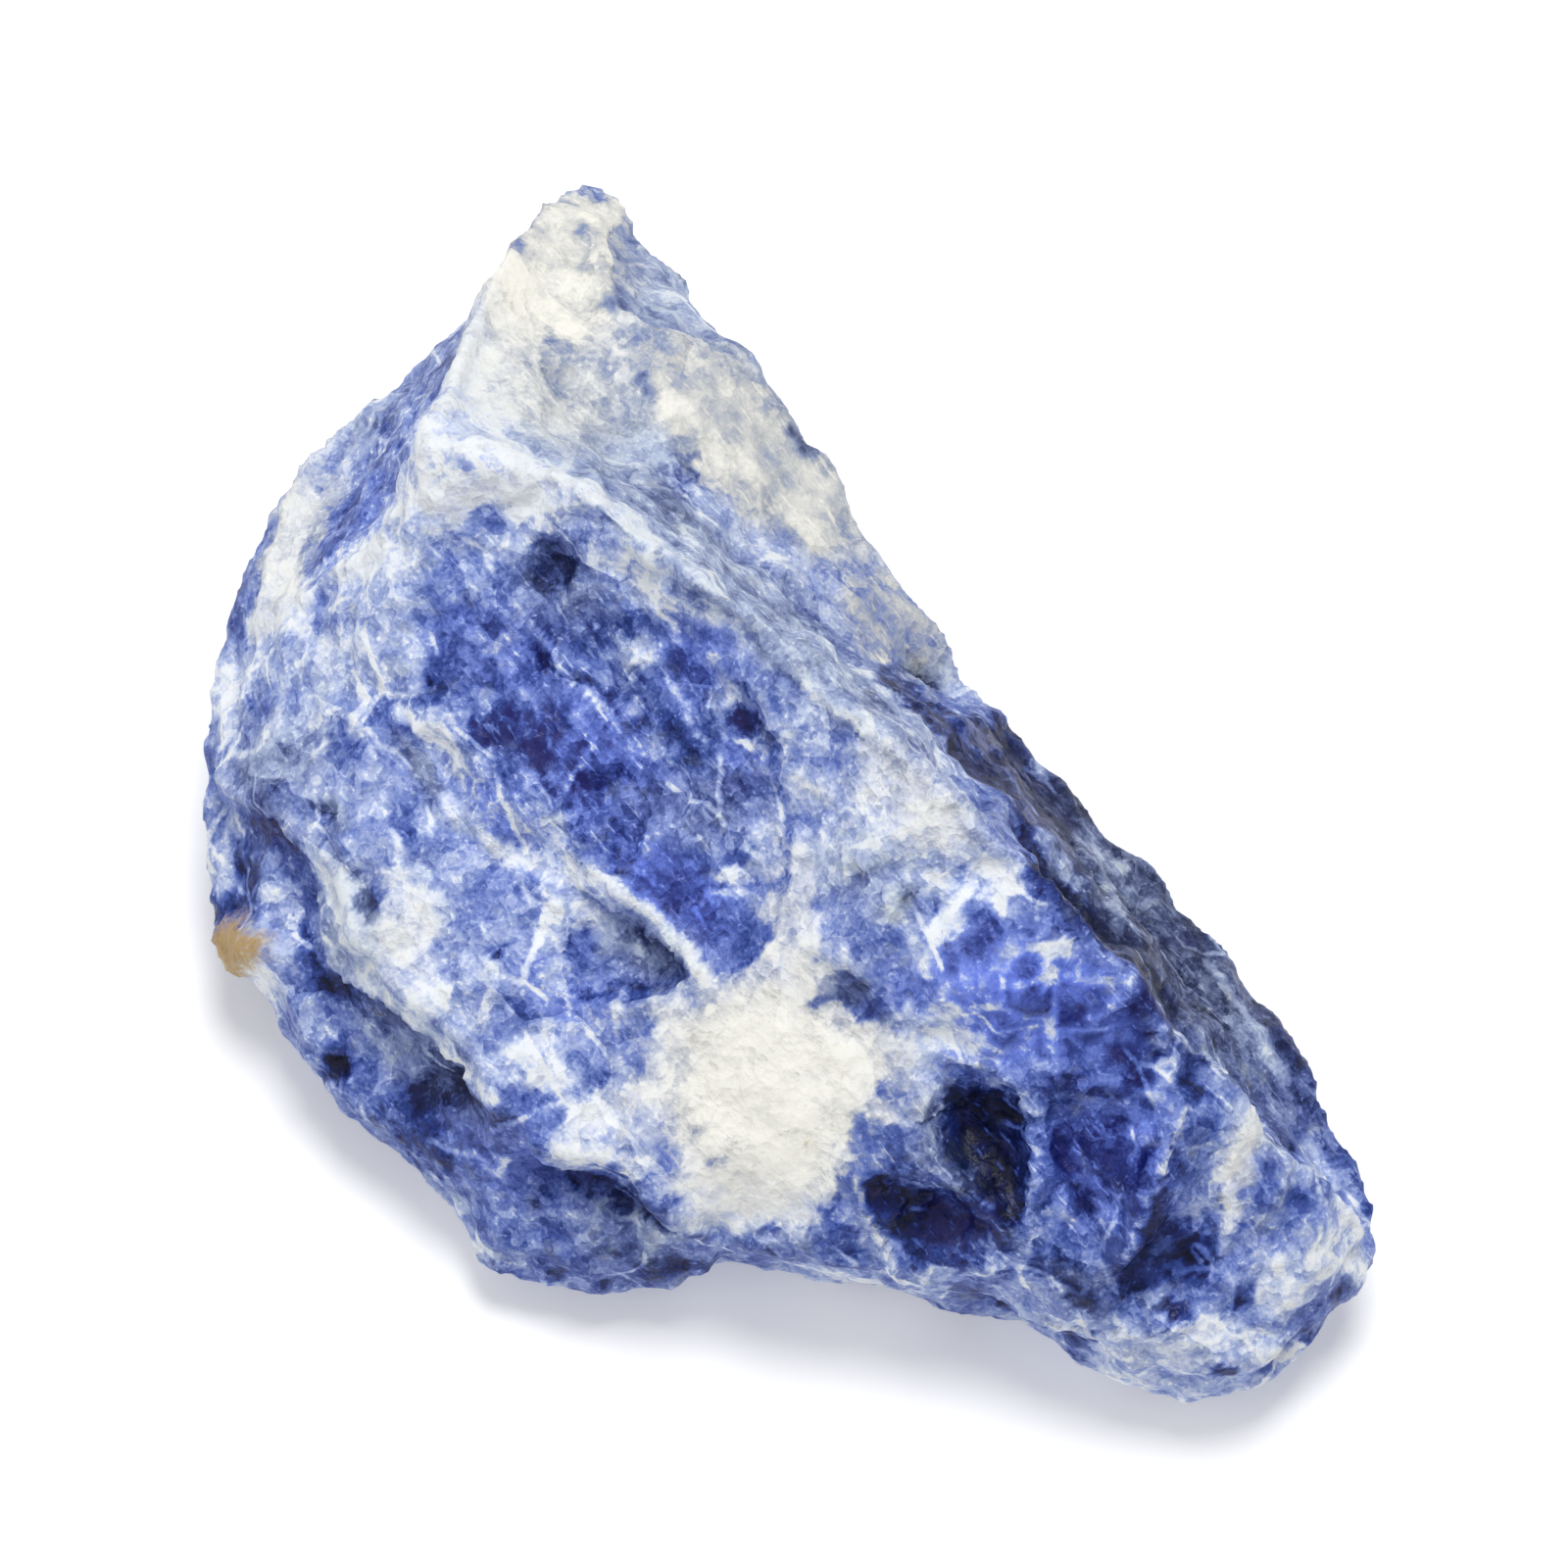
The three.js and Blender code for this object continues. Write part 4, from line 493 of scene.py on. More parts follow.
# right, down, half length, half width, turn clockwise if any, amount
tints = {
    # warm white of the patches
    "cream": [
        (345, 788, 26, 44, 20, 0.8), (352, 762, 12, 7, 1.0), (342, 828, 36, 24, 10, 0.45),
        (413, 848, 56, 19, 45, 1.0), (437, 869, 14, 13, 40, 1.0), (464, 914, 22, 15, 45, 1.0),
        (420, 1078, 52, 50, 0.6), (470, 975, 34, 16, 42, 0.3), (248, 885, 12, 38, 20, 0.4),
        (288, 1020, 14, 24, -20, 0.3), (427, 1015, 14, 28, 0.35), (585, 1108, 9, 22, 5, 0.35),
        (365, 1095, 22, 14, 10, 0.2), (572, 1170, 34, 12, 0.15),
    ],
    # the purest blue
    "royal": [
        (388, 1008, 26, 14, 45, 1.0), (325, 978, 28, 8, 45, 0.6), (360, 965, 34, 22, 45, 0.7),
        (325, 925, 30, 14, 30, 0.5), (395, 925, 14, 18, 45, 0.5), (510, 1045, 40, 26, 10, 1.0),
        (412, 965, 12, 14, 0.5), (540, 1100, 22, 30, 0.8), (275, 875, 16, 24, 35, 0.4),
        (350, 1048, 24, 10, 30, 0.5), (325, 1100, 18, 20, 0.5),
    ],
    # grey-green feldspar
    "green": [
        (350, 790, 34, 40, 20, 0.6), (422, 836, 36, 9, 45, 0.9), (476, 930, 12, 8, 0.9),
        (415, 850, 58, 20, 45, 0.7), (352, 838, 42, 26, 25, 0.8), (380, 792, 14, 26, -38, 0.6),
        (415, 905, 96, 16, 42, 0.6), (345, 897, 18, 18, 0.3), (395, 978, 24, 14, 0.3),
        (272, 838, 16, 10, -40, 0.4), (248, 885, 10, 34, 20, 0.3), (244, 962, 20, 14, 0.5),
        (296, 966, 5, 15, -28, 0.6), (265, 981, 8, 5, 0.6), (272, 1018, 12, 24, -20, 0.6),
        (378, 1028, 18, 14, 30, 0.6), (455, 1000, 24, 14, 0.4), (468, 1011, 8, 7, 0.7),
        (446, 1044, 12, 8, -20, 0.4), (478, 1092, 8, 14, 0.5), (488, 1106, 12, 6, 35, 0.5),
        (560, 1022, 84, 22, 53, 0.7), (596, 1092, 12, 12, 0.3), (300, 1068, 30, 14, 42, 0.4),
        (372, 1128, 24, 14, 0.3), (530, 1148, 14, 8, 30, 0.3),
    ],
    "violet": [
        (328, 954, 24, 9, 15, 0.5), (350, 970, 14, 12, 40, 0.4), (412, 949, 8, 8, 0.3),
        (243, 988, 14, 10, 40, 0.4), (550, 1060, 12, 16, 0.3), (488, 1126, 14, 10, 20, 0.5),
        (494, 1142, 14, 8, 0.5), (456, 1050, 12, 8, 0.3),
    ],
    # where the break is striated
    "streak": [
        (350, 940, 60, 32, 45, 1.0), (430, 915, 90, 14, 42, 1.0), (352, 975, 60, 14, 42, 1.0),
        (490, 1105, 38, 36, 1.0), (540, 1105, 24, 30, 1.0), (560, 1040, 70, 20, 52, 1.0),
        (280, 860, 26, 34, 40, 0.8),
    ],
    # where crystals bulge, paler towards their borders
    "net": [
        (510, 1045, 44, 26, 10, 1.0), (560, 1062, 24, 20, 1.0), (606, 1120, 24, 24, 0.7),
        (400, 930, 30, 20, 0.4),
    ],
    "rust": [
        (231, 1028, 13, 11, 1.0), (432, 1097, 3, 3, 0.5), (425, 1108, 2, 2, 0.4), (338, 780, 3, 3, 0.3),
    ],
}

# path, height in mm, reach to the left and to the right of the path: a short reach makes a cliff
ledges = [
    ([(300, 852), (325, 857), (347, 864), (371, 881), (396, 901), (416, 917), (431, 934), (450, 949),
      (466, 963), (486, 981), (504, 999)], 0.3, 6, 3),
    ([(504, 999), (522, 1016), (543, 1038), (556, 1060), (566, 1082)], 0.3, 5, 3),
    ([(289, 940), (300, 947), (312, 957), (322, 966), (335, 978), (346, 989)], 0.22, 2, 12),
    ([(344, 990), (356, 998), (370, 1007), (382, 1018), (393, 1030), (400, 1042)], 0.32, 2, 8),
    ([(288, 943), (291, 956), (297, 969), (304, 981), (316, 988), (325, 1000), (338, 1008),
      (350, 1018)], 0.35, 10, 2),
    ([(350, 1003), (362, 1010), (375, 1018), (388, 1028), (393, 1038), (385, 1047), (370, 1049),
      (355, 1048), (348, 1035), (347, 1016), (350, 1003)], 0.3, 6, 1.5),
    ([(322, 1082), (312, 1070), (298, 1060), (285, 1048), (272, 1040), (264, 1030), (260, 1015),
      (257, 1000), (250, 985), (240, 978)], 0.4, 1.5, 9),
    ([(430, 1133), (400, 1135), (385, 1125), (370, 1115), (355, 1108), (342, 1102), (335, 1090),
      (322, 1082)], 0.35, 1.5, 8),
    ([(340, 1106), (356, 1118), (376, 1123), (396, 1134)], -0.45, 5, 3),
    ([(297, 848), (295, 868), (282, 885), (262, 897), (246, 908)], 0.35, 4, 3),
    ([(268, 836), (252, 858), (243, 881), (236, 905), (234, 921)], 0.4, 6, 1.5),
    ([(357, 760), (360, 777), (363, 796), (376, 805), (395, 813), (412, 826), (430, 842)], 0.3, 2, 7),
    ([(320, 796), (314, 815), (308, 835), (301, 852)], 0.35, 2, 7),
    ([(358, 872), (384, 892), (408, 908), (430, 925), (452, 944), (475, 966)], -0.3, 4, 3),
    ([(408, 880), (428, 897), (448, 913), (470, 932), (490, 952)], 0.3, 4, 2),
    ([(322, 893), (335, 912), (350, 934)], 0.22, 2, 5),
    ([(345, 925), (358, 942), (373, 961)], 0.14, 5, 2),
    ([(381, 918), (392, 938), (404, 960)], -0.25, 3, 3),
    ([(357, 958), (349, 970), (346, 985)], 0.25, 3, 2),
    ([(380, 957), (394, 966), (408, 980), (420, 992)], 0.2, 2, 5),
    ([(325, 940), (342, 945), (352, 956), (358, 968)], -0.3, 5, 3),
    ([(430, 985), (428, 1005), (425, 1025), (412, 1038)], 0.25, 4, 3),
    ([(474, 1074), (473, 1092), (482, 1103), (497, 1117), (509, 1131)], 0.3, 3, 3),
    ([(480, 1066), (497, 1068), (510, 1078), (514, 1095), (515, 1112), (511, 1131)], 0.35, 6, 1.5),
    ([(452, 1110), (457, 1125), (464, 1138), (471, 1149)], 0.4, 1.5, 5),
    ([(452, 1110), (470, 1107), (486, 1113), (502, 1126)], 0.2, 3, 1.5),
    ([(522, 1086), (525, 1102), (530, 1118), (536, 1131)], -0.35, 3, 4),
    ([(544, 1086), (538, 1100), (535, 1115), (537, 1130)], 0.2, 4, 4),
    ([(566, 1083), (560, 1100), (555, 1115), (551, 1130), (542, 1143)], 0.45, 1.5, 7),
    ([(520, 1080), (537, 1074), (552, 1080), (566, 1083)], 0.3, 4, 2),
    ([(587, 1090), (581, 1108), (583, 1126), (580, 1142), (571, 1156)], 0.35, 6, 3),
    ([(571, 1158), (556, 1164), (540, 1166), (522, 1160), (506, 1152)], 0.35, 6, 1.5),
    ([(598, 1083), (608, 1100), (606, 1120), (596, 1140), (590, 1156)], -0.2, 4, 4),
    ([(523, 984), (545, 1018), (561, 1041), (573, 1062), (585, 1086)], 0.35, 7, 2),
    ([(440, 1056), (452, 1060), (470, 1054), (480, 1061), (500, 1066)], -0.2, 3, 4),
]

# right, down, radius, depth in mm; a negative one is a knob
pits = [
    (230, 1028, 12, -0.9), (343, 893, 13, 0.15), (412, 949, 9, 0.2), (276, 1005, 8, 0.25),
    (263, 981, 6, 0.25), (324, 1029, 4, 0.12), (264, 1073, 7, 0.5), (447, 1044, 10, 0.25),
    (330, 952, 12, 0.25), (476, 931, 5, 0.2), (230, 1005, 9, 0.3), (588, 1154, 7, 0.15),
    (547, 1058, 11, 0.25), (498, 1020, 7, 0.2), (572, 1068, 7, 0.2), (470, 1010, 6, 0.2),
]

# how the marks lie on the stone
marking = {
    "seed": 5,  # without it the borders stray another way in each run
    "stray": ((520, 0.42), (1500, 0.14)),  # of the borders: waves a metre, and how far in mm
    "crystals": 1250,  # a metre
    "toCrystals": 0.55,  # how far the borders keep to those crystals
    "steady": 0.4,  # the share of all this that veins, ledges and pits take on
    "broadStroke": 20,  # a stroke wider than this takes on all of it
    # where a mark begins and where it is full, in radii
    "spotFade": (1.45, 0.4),
    "strokeFade": (1.5, 0.45),
    "pitFade": (1.1, 0.45),
    "spotDepth": (2.2, 16),  # a spot reaches so many radii in depth, and counts as this large at least
    "strokeDepth": (16, 9),  # mm in depth from the middle of the stroke
    "above": 0.2,  # the surface under a mark is looked up from here, in metres
    "ledgeEnd": (10, 0.15),  # a ledge runs out over so many steps, down to this share
    "ledgeHollow": 1.4,
    # cosine of the turn to the camera at which a face begins and fully takes a mark, a ledge or a push
    "facing": (-0.45, -0.1),
    "ledgeFacing": (-0.05, 0.2),
    "nudgeFacing": (-0.2, 0.1),
}

# where nothing is placed the tones drift as they do on the rest of such a stone
drift = {
    # clouds a metre, how fast finer ones fade, how much finer the next are, place in the noise
    "broad": (130, 0.9, 2.1, (0, 0, 0)),
    "middling": (330, 0.8, 2.0, (7, 3, 1)),
    "octaves": 3,
    "tone": (0.5, 0.42, 0.2),  # the middle, and how far broad and middling clouds swing it
    "darkest": 0.08,
    # from where to where in the clouds a tint comes in, and how strongly
    "cream": (0.5, 0.9, 0.4),
    "green": (0.1, 0.6, 0.3),
    "royal": (0.1, 0.5, 0.5),
    "giveWay": 0.8,  # the share of these that goes where marks are placed
    "even": {"violet": 0.0, "rust": 0.0, "streak": 0.35, "net": 0.25},
}


def smoothStep(edge0, edge1, x):
    t = np.clip((x - edge0) / (edge1 - edge0), 0, 1)
    return t * t * (3 - 2 * t)


def vectorsOf(mesh, name):
    values = np.zeros(len(mesh.vertices) * 3)
    mesh.vertices.foreach_get(name, values)
    return values.reshape(-1, 3)


def seen(places):
    # steps right and down, and metres towards the camera
    right, up, back = (np.array(v) for v in (seenRight, seenUp, seenBack))
    return np.stack([(places @ right - seenMiddle[0]) / (markStep * mm) + markMiddle[0],
                     markMiddle[1] - (places @ up - seenMiddle[1]) / (markStep * mm),
                     places @ back], axis=1)


def nudge(stone):
    points, normals = vectorsOf(stone.data, "co"), vectorsOf(stone.data, "normal")
    flat = seen(points)
    push, weights = np.zeros((len(points), 3)), np.zeros(len(points))
    for x, y, pushRight, pushDown in nudges:
        weight = np.exp(-((flat[:, 0] - x) ** 2 + (flat[:, 1] - y) ** 2) / nudgeReach ** 2)
        push += weight[:, None] * np.array(seenRight * pushRight - seenUp * pushDown) * markStep * mm
        weights += weight
    facing = smoothStep(*marking["nudgeFacing"], normals @ np.array(seenBack))
    points += push / np.maximum(weights, 1)[:, None] * facing[:, None]
    stone.data.vertices.foreach_set("co", points.ravel())
    stone.data.update()


def strayed(points):
    # the points as the marks take them, so that the borders stray and run along crystals
    noise.seed_set(marking["seed"])
    made = []
    for start in (Vector(p) for p in points):
        p = start
        for rate, reach in marking["stray"]:
            p = p + noise.noise_vector(start * rate) * reach * mm
        crystal = noise.voronoi(p * marking["crystals"])[1][0] / marking["crystals"]
        made.append(p.lerp(crystal, marking["toCrystals"]))
    return np.array(made)


def alongPath(path, places):
    # distance from the path in steps, and on which side of it
    nearest, side = np.full(len(places), np.inf), np.zeros(len(places))
    for a, b in zip(np.array(path, float), np.array(path[1:], float)):
        run = b - a
        t = np.clip((places[:, :2] - a) @ run / (run @ run), 0, 1)
        off = places[:, :2] - a - t[:, None] * run
        far = np.hypot(off[:, 0], off[:, 1])
        side = np.where(far < nearest, run[0] * off[:, 1] - run[1] * off[:, 0], side)
        nearest = np.minimum(nearest, far)
    return nearest, side


def driftOver(points, facing):
    # values of each attribute before anything is placed
    def clouds(name):
        rate, fade, finer, place = drift[name]
        return np.array([noise.fractal(Vector(p) * rate + Vector(place), fade, finer, drift["octaves"])
                         for p in points])

    broad, middling = clouds("broad"), clouds("middling")
    middle, broadSwing, middlingSwing = drift["tone"]
    tone = middle + broadSwing * broad + middlingSwing * middling
    values = {"tone": np.clip(tone, drift["darkest"], 1.0)}
    for name, cloud in (("cream", broad), ("green", -middling), ("royal", middling)):
        low, high, amount = drift[name]
        values[name] = smoothStep(low, high, cloud) * amount * (1 - facing * drift["giveWay"])
    for name, amount in drift["even"].items():
        values[name] = np.full(len(points), amount)
    return values


def ledgesOver(places, facing):
    # height in metres that the placed ledges and pits give
    rise = np.zeros(len(places))
    endRun, endShare = marking["ledgeEnd"]
    for path, height, leftReach, rightReach in ledges:
        nearest, side = alongPath(path, places)
        ends = np.minimum(*(np.hypot(*(places[:, :2] - end).T) for end in (path[0], path[-1]))) / endRun
        reach = np.where(side > 0, rightReach, leftReach)
        flank = np.clip(1 - nearest / reach, 0, 1) ** marking["ledgeHollow"]
        rise += height * flank * np.clip(ends + endShare, 0, 1)
    for x, y, radius, depth in pits:
        far = np.hypot(places[:, 0] - x, places[:, 1] - y) / radius
        rise -= depth * smoothStep(*marking["pitFade"], far)
    return rise * (smoothStep(*marking["ledgeFacing"], facing) * mm)


def mark(stone):
    # writes what the tables say into float attributes of the mesh
    mesh = stone.data
    points, normals = vectorsOf(mesh, "co"), vectorsOf(mesh, "normal")
    surface = BVHTree.FromPolygons([v.co for v in mesh.vertices], [p.vertices for p in mesh.polygons])
    right, up, back = (np.array(v) for v in (seenRight, seenUp, seenBack))
    toCamera = normals @ back
    # a mark reaches through steep faces but not through to the underside
    facing = smoothStep(*marking["facing"], toCamera)
    broken = strayed(points)
    flat = seen(broken)
    steadier = seen(points * (1 - marking["steady"]) + broken * marking["steady"])

    def depthAt(x, y):
        level = Vector(right * (seenMiddle[0] + (x - markMiddle[0]) * markStep * mm)
                       + up * (seenMiddle[1] - (y - markMiddle[1]) * markStep * mm) + back * middleDepth)
        hit = surface.ray_cast(level + seenBack * marking["above"], -seenBack)[0]
        return (hit or surface.find_nearest(level)[0]).dot(seenBack)

    def cover(x, y, length, width, turn=0):
        angle = math.radians(turn)
        across, down = flat[:, 0] - x, flat[:, 1] - y
        a = (across * math.cos(angle) + down * math.sin(angle)) / length
        b = (down * math.cos(angle) - across * math.sin(angle)) / width
        deep, least = marking["spotDepth"]
        c = (flat[:, 2] - depthAt(x, y)) / (max(length, width, least) * deep * markStep * mm)
        return smoothStep(*marking["spotFade"], np.sqrt(a * a + b * b + c * c)) * facing

    values = driftOver(points, facing)
    for *place, tone in sorted(tones, key=lambda spot: -spot[2] * spot[3]):
        values["tone"] += (tone - values["tone"]) * cover(*place)
    for path, width, tone in strokes:
        # a vein keeps a clean line, a broad band breaks up along the crystals
        nearest = alongPath(path, flat if width > marking["broadStroke"] else steadier)[0]
        middle = path[len(path) // 2]
        away, near = (edge * mm for edge in marking["strokeDepth"])
        sameLevel = smoothStep(away, near, abs(flat[:, 2] - depthAt(*middle)))
        line = smoothStep(*marking["strokeFade"], nearest / (width / 2))
        values["tone"] += (tone - values["tone"]) * line * facing * sameLevel
    for name, places in tints.items():
        for *place, amount in places:
            values[name] += (amount - values[name]) * cover(*place)
    values["ledge"] = ledgesOver(steadier, toCamera)
    for name, value in values.items():
        layer = mesh.attributes.new(name, "FLOAT", "POINT")
        layer.data.foreach_set("value", np.ascontiguousarray(value, dtype=np.float32))


# rough sodalite, fresh broken: mottled royal blue with navy crystals, white veins and cream patches
sodalite = {
    # navy to white, in the order in which the stone's crystals pale
    "tones": [(0.0, "#050a27"), (0.15, "#101c53"), (0.3, "#2c4189"), (0.42, "#495ea7"), (0.55, "#6d80c0"),
              (0.68, "#92a2d3"), (0.8, "#b3c0e3"), (0.9, "#d0d8ec"), (1.0, "#e7ebf0")],
    "royalDark": "#101a66",
    "royalPale": "#6f88ee",
    "cream": "#eeece3",
    "creamShade": "#959ca8",
    "greenDark": "#1c2947",
    "greenPale": "#c6d0d8",
    "violet": "#2b2766",
    "rust": "#b09466",
    # of the crystals' borders: mm from one to the next, detail, roughness, and how wide they swing
    "bend": (0.9, 2.0, 0.6, 0.35),
    # size in mm, detail, roughness
    "clouds": {
        "streak": (0.5, 3.0, 0.6),
        "mottle": (1.9, 4.0, 0.6),  # clouds of crystals
        "grain": (0.2, 2.0, 0.6),  # sugary grain, drawn a little coarse so that it shows
        "cracked": (2.6, 1.0, 0.5),  # where healed cracks show
        # white flecks of the stone, which also stand as painted glints
        "fleck": (0.4, 2.0, 0.6),
        # thin white lines along the striations: painted highlights on their ridges
        "scratch": (0.3, 2.0, 0.5),
        "drift": (1.4, 2.0, 0.6),  # greener and more violet places
    },
    # size in mm of broken facets, single crystals and flakes, each with its own shade, and of healed cracks
    "cells": {"facet": 2.3, "crystal": 0.95, "flake": 0.42, "crack": 3.4},
    "drawnOut": 0.85,  # how far striations and the painted highlights along them are stretched
    "halfDrawn": 0.5,  # facets, cracks and mottling
    # how far each pattern swings the tone
    "swings": {"mottle": 0.36, "facet": 0.24, "crystal": 0.18, "flake": 0.2, "grain": 0.42, "streak": 0.6},
    "calms": {"cream": 0.65, "net": 0.35},  # the share of the swing that goes there
    "bulge": (0.35, 0.32),  # the height that keeps its tone, and how far the others depart from it
    # how much paler bruised edges get, and how much painted shade darkens hollows
    "ridge": 0.09,
    # how much the painted highlights along the striations pale the tone
    "scratch": 0.28,
    "greenShare": 0.8,
    "rustSwing": 0.8,
    # each value is eased from the first number to the second, into 0 to 1 or into the last two
    "eases": {
        "calmByPale": (1.05, 0.8, 0.55, 1.0),
        "calmByDark": (0.0, 0.35, 0.3, 1.0),
        "bulge": (0.3, 0.75),
        "crack": (0.045, 0.01),
        "cracked": (0.47, 0.6),
        "crackByCream": (0.3, 0.0, 0.0, 0.3),
        # white flecks and painted glints: where they show, and how strongly in cream and elsewhere
        "fleck": (0.6, 0.72),
        "fleckByCream": (0.1, 0.7, 0.14, 0.03),
        "scratch": (0.6, 0.72),
        "royalByShade": (0.85, 0.6),
        "greenDrift": (0.56, 0.72, 0.0, 0.3),
        "violetDrift": (0.44, 0.3, 0.0, 0.35),
        "violetByShade": (0.6, 0.1),
        "cream": (0.02, 0.7),
        "creamByShade": (0.48, 0.72),
        "rust": (0.2, 1.0),
        "rustEdge": (0.0, 0.2),
        "glossByCrystal": (0.2, 0.9, 0.5, 0.3),
        "glossByShade": (0.3, 0.95, 0.0, 0.18),
    },
    # where in the shade a tint runs from its dark colour to its pale one
    "royalRun": (0.05, 0.85),
    "greenRun": (0.05, 1.0),
    "creamRun": (0.5, 0.95),
    # fine relief in mm, and how far a crystal's face leans its own way
    "bumps": {"crystal": 0.09, "flake": 0.06, "grain": 0.06, "streak": 0.07},
    "bumpStrength": 0.9,
    "leans": {"facet": 0.3, "crystal": 0.26, "flake": 0.2},
    "ior": 1.483,
    "gleam": 0.2,  # broken faces send back less of the sky than polished ones
}


def sodaliteMaterial():
    material = bpy.data.materials.new("roughSodalite")
    material.use_nodes = True
    tree = material.node_tree
    tree.nodes.clear()
    node = partial(addNode, tree)
    chained = partial(chain, node)
    colours = {"data_type": "RGBA", "output": 2}
    eases = sodalite["eases"]
    inMetres = node("ShaderNodeTexCoord", output="Object")
    inMm = node("ShaderNodeVectorMath", {0: inMetres, "Scale": 1 / mm}, operation="SCALE")
    placed = {name: node("ShaderNodeAttribute", attribute_name=name, output="Fac")
              for name in ("tone", "cream", "net", "streak", "ridge", "royal", "green", "violet", "rust")}

    # striations are drawn out along the break, down to the right as the camera sees it
    reach = node("ShaderNodeVectorMath", (inMm, streakAlong), output="Value", operation="DOT_PRODUCT")
    drawnOut = stretched(node, inMm, reach, sodalite["drawnOut"])
    # crystals are slightly bent cells with a shade of their own
    size, detail, roughness, far = sodalite["bend"]
    bent = node("ShaderNodeTexNoise", {"Vector": inMm, "Scale": 1 / size, "Detail": detail,
                                       "Roughness": roughness}, output="Color")
    bent = node("ShaderNodeVectorMath", (inMm, colourAbout(node, bent, far)), operation="ADD")
    halfDrawn = stretched(node, bent, reach, sodalite["halfDrawn"])
    where = {"streak": drawnOut, "scratch": drawnOut, "mottle": halfDrawn}
    clouds = {}
    for name, (size, detail, roughness) in sodalite["clouds"].items():
        clouds[name] = node("ShaderNodeTexNoise", {"Vector": where.get(name, inMm), "Scale": 1 / size,
                                                   "Detail": detail, "Roughness": roughness})
    cells, shades = {}, {}
    for channel, (name, place) in enumerate((("crystal", bent), ("flake", bent), ("facet", halfDrawn))):
        cells[name] = node("ShaderNodeTexVoronoi", {"Vector": place, "Scale": 1 / sodalite["cells"][name]},
                           output=None)
        shades[name] = node("ShaderNodeSeparateColor", (cells[name]["Color"],), output=channel)

    # tone: the placed tone, broken up by all of these; white and cream patches and the darkest crystals
    # are calmer than the rest
    calm = node("ShaderNodeMapRange", (placed["tone"], *eases["calmByPale"]), **smoothly)
    calm = chained("MULTIPLY", calm,
                   node("ShaderNodeMapRange", (placed["tone"], *eases["calmByDark"]), **smoothly))
    for name, share in sodalite["calms"].items():
        rest = node("ShaderNodeMath", (1.0, chained("MULTIPLY", placed[name], share)), operation="SUBTRACT")
        calm = chained("MULTIPLY", calm, rest)
    swings = {name: about(node, shades.get(name) or clouds[name], amount)
              for name, amount in sodalite["swings"].items()}
    swings["streak"] = chained("MULTIPLY", swings["streak"], placed["streak"])
    shade = chained("ADD", placed["tone"], chained("MULTIPLY", chained("ADD", *swings.values()), calm))

    # bulging crystals are deep in the middle and pale towards their borders
    bulge = node("ShaderNodeTexVoronoi", {
        "Vector": inMetres, "Scale": 1 / (relief["widths"]["cell"] * mm), "Smoothness": relief["softness"]},
        feature="SMOOTH_F1")
    middle, amount = sodalite["bulge"]
    bulge = node("ShaderNodeMapRange", (bulge, *eases["bulge"]), **smoothly)
    bulge = node("ShaderNodeMath", (bulge, middle), operation="SUBTRACT")
    shade = chained("ADD", shade, chained("MULTIPLY", bulge, placed["net"], amount))

    # thin healed cracks between the facets, here and there
    crack = node("ShaderNodeTexVoronoi", {"Vector": halfDrawn, "Scale": 1 / sodalite["cells"]["crack"]},
                 feature="DISTANCE_TO_EDGE")
    crack = chained("MULTIPLY", node("ShaderNodeMapRange", (crack, *eases["crack"]), **smoothly),
                    node("ShaderNodeMapRange", (clouds["cracked"], *eases["cracked"]), **smoothly))
    crackAmount = node("ShaderNodeMapRange", (placed["cream"], *eases["crackByCream"]), **smoothly)
    shade = chained("ADD", shade, chained("MULTIPLY", crack, crackAmount))

    # bruised ridges are paler and hollows darker with painted shade; white flecks, which also stand as
    # painted glints, and painted highlights along the striations
    fleck = node("ShaderNodeMapRange", (clouds["fleck"], *eases["fleck"]), **smoothly)
    whiteFleckAndGlintAmount = node("ShaderNodeMapRange", (placed["cream"], *eases["fleckByCream"]), **smoothly)
    scratch = node("ShaderNodeMapRange", (clouds["scratch"], *eases["scratch"]), **smoothly)
    shade = chained("ADD", shade, chained("MULTIPLY", placed["ridge"], sodalite["ridge"]),
                    chained("MULTIPLY", fleck, whiteFleckAndGlintAmount),
                    chained("MULTIPLY", scratch, placed["streak"], sodalite["scratch"]))

    ramp = tree.nodes.new("ShaderNodeValToRGB")
    tree.links.new(shade, ramp.inputs[0])
    stops = ramp.color_ramp.elements
    for i, (position, hexColour) in enumerate(sodalite["tones"]):
        stop = stops[i] if i < 2 else stops.new(position)
        stop.position = position
        stop.color = linear(hexColour)
    colour = ramp.outputs["Color"]

    # how much of the pure blue, grey-green, violet, cream and rust lies where
    royal = chained("MULTIPLY", placed["royal"],
                    node("ShaderNodeMapRange", (shade, *eases["royalByShade"]), **smoothly))
    green = chained("ADD", chained("MULTIPLY", placed["green"], sodalite["greenShare"]),
                    node("ShaderNodeMapRange", (clouds["drift"], *eases["greenDrift"]), **smoothly))
    violet = chained("ADD", placed["violet"],
                     node("ShaderNodeMapRange", (clouds["drift"], *eases["violetDrift"]), **smoothly))
    violet = chained("MULTIPLY", violet,
                     node("ShaderNodeMapRange", (shade, *eases["violetByShade"]), **smoothly))
    cream = chained("MULTIPLY", node("ShaderNodeMapRange", (placed["cream"], *eases["cream"]), **smoothly),
                    node("ShaderNodeMapRange", (shade, *eases["creamByShade"]), **smoothly))
    rust = chained("ADD", placed["rust"], about(node, clouds["mottle"], sodalite["rustSwing"]),
                   about(node, clouds["grain"], sodalite["rustSwing"]))
    rust = chained("MULTIPLY", node("ShaderNodeMapRange", (rust, *eases["rust"]), **smoothly),
                   node("ShaderNodeMapRange", (placed["rust"], *eases["rustEdge"]), **smoothly))
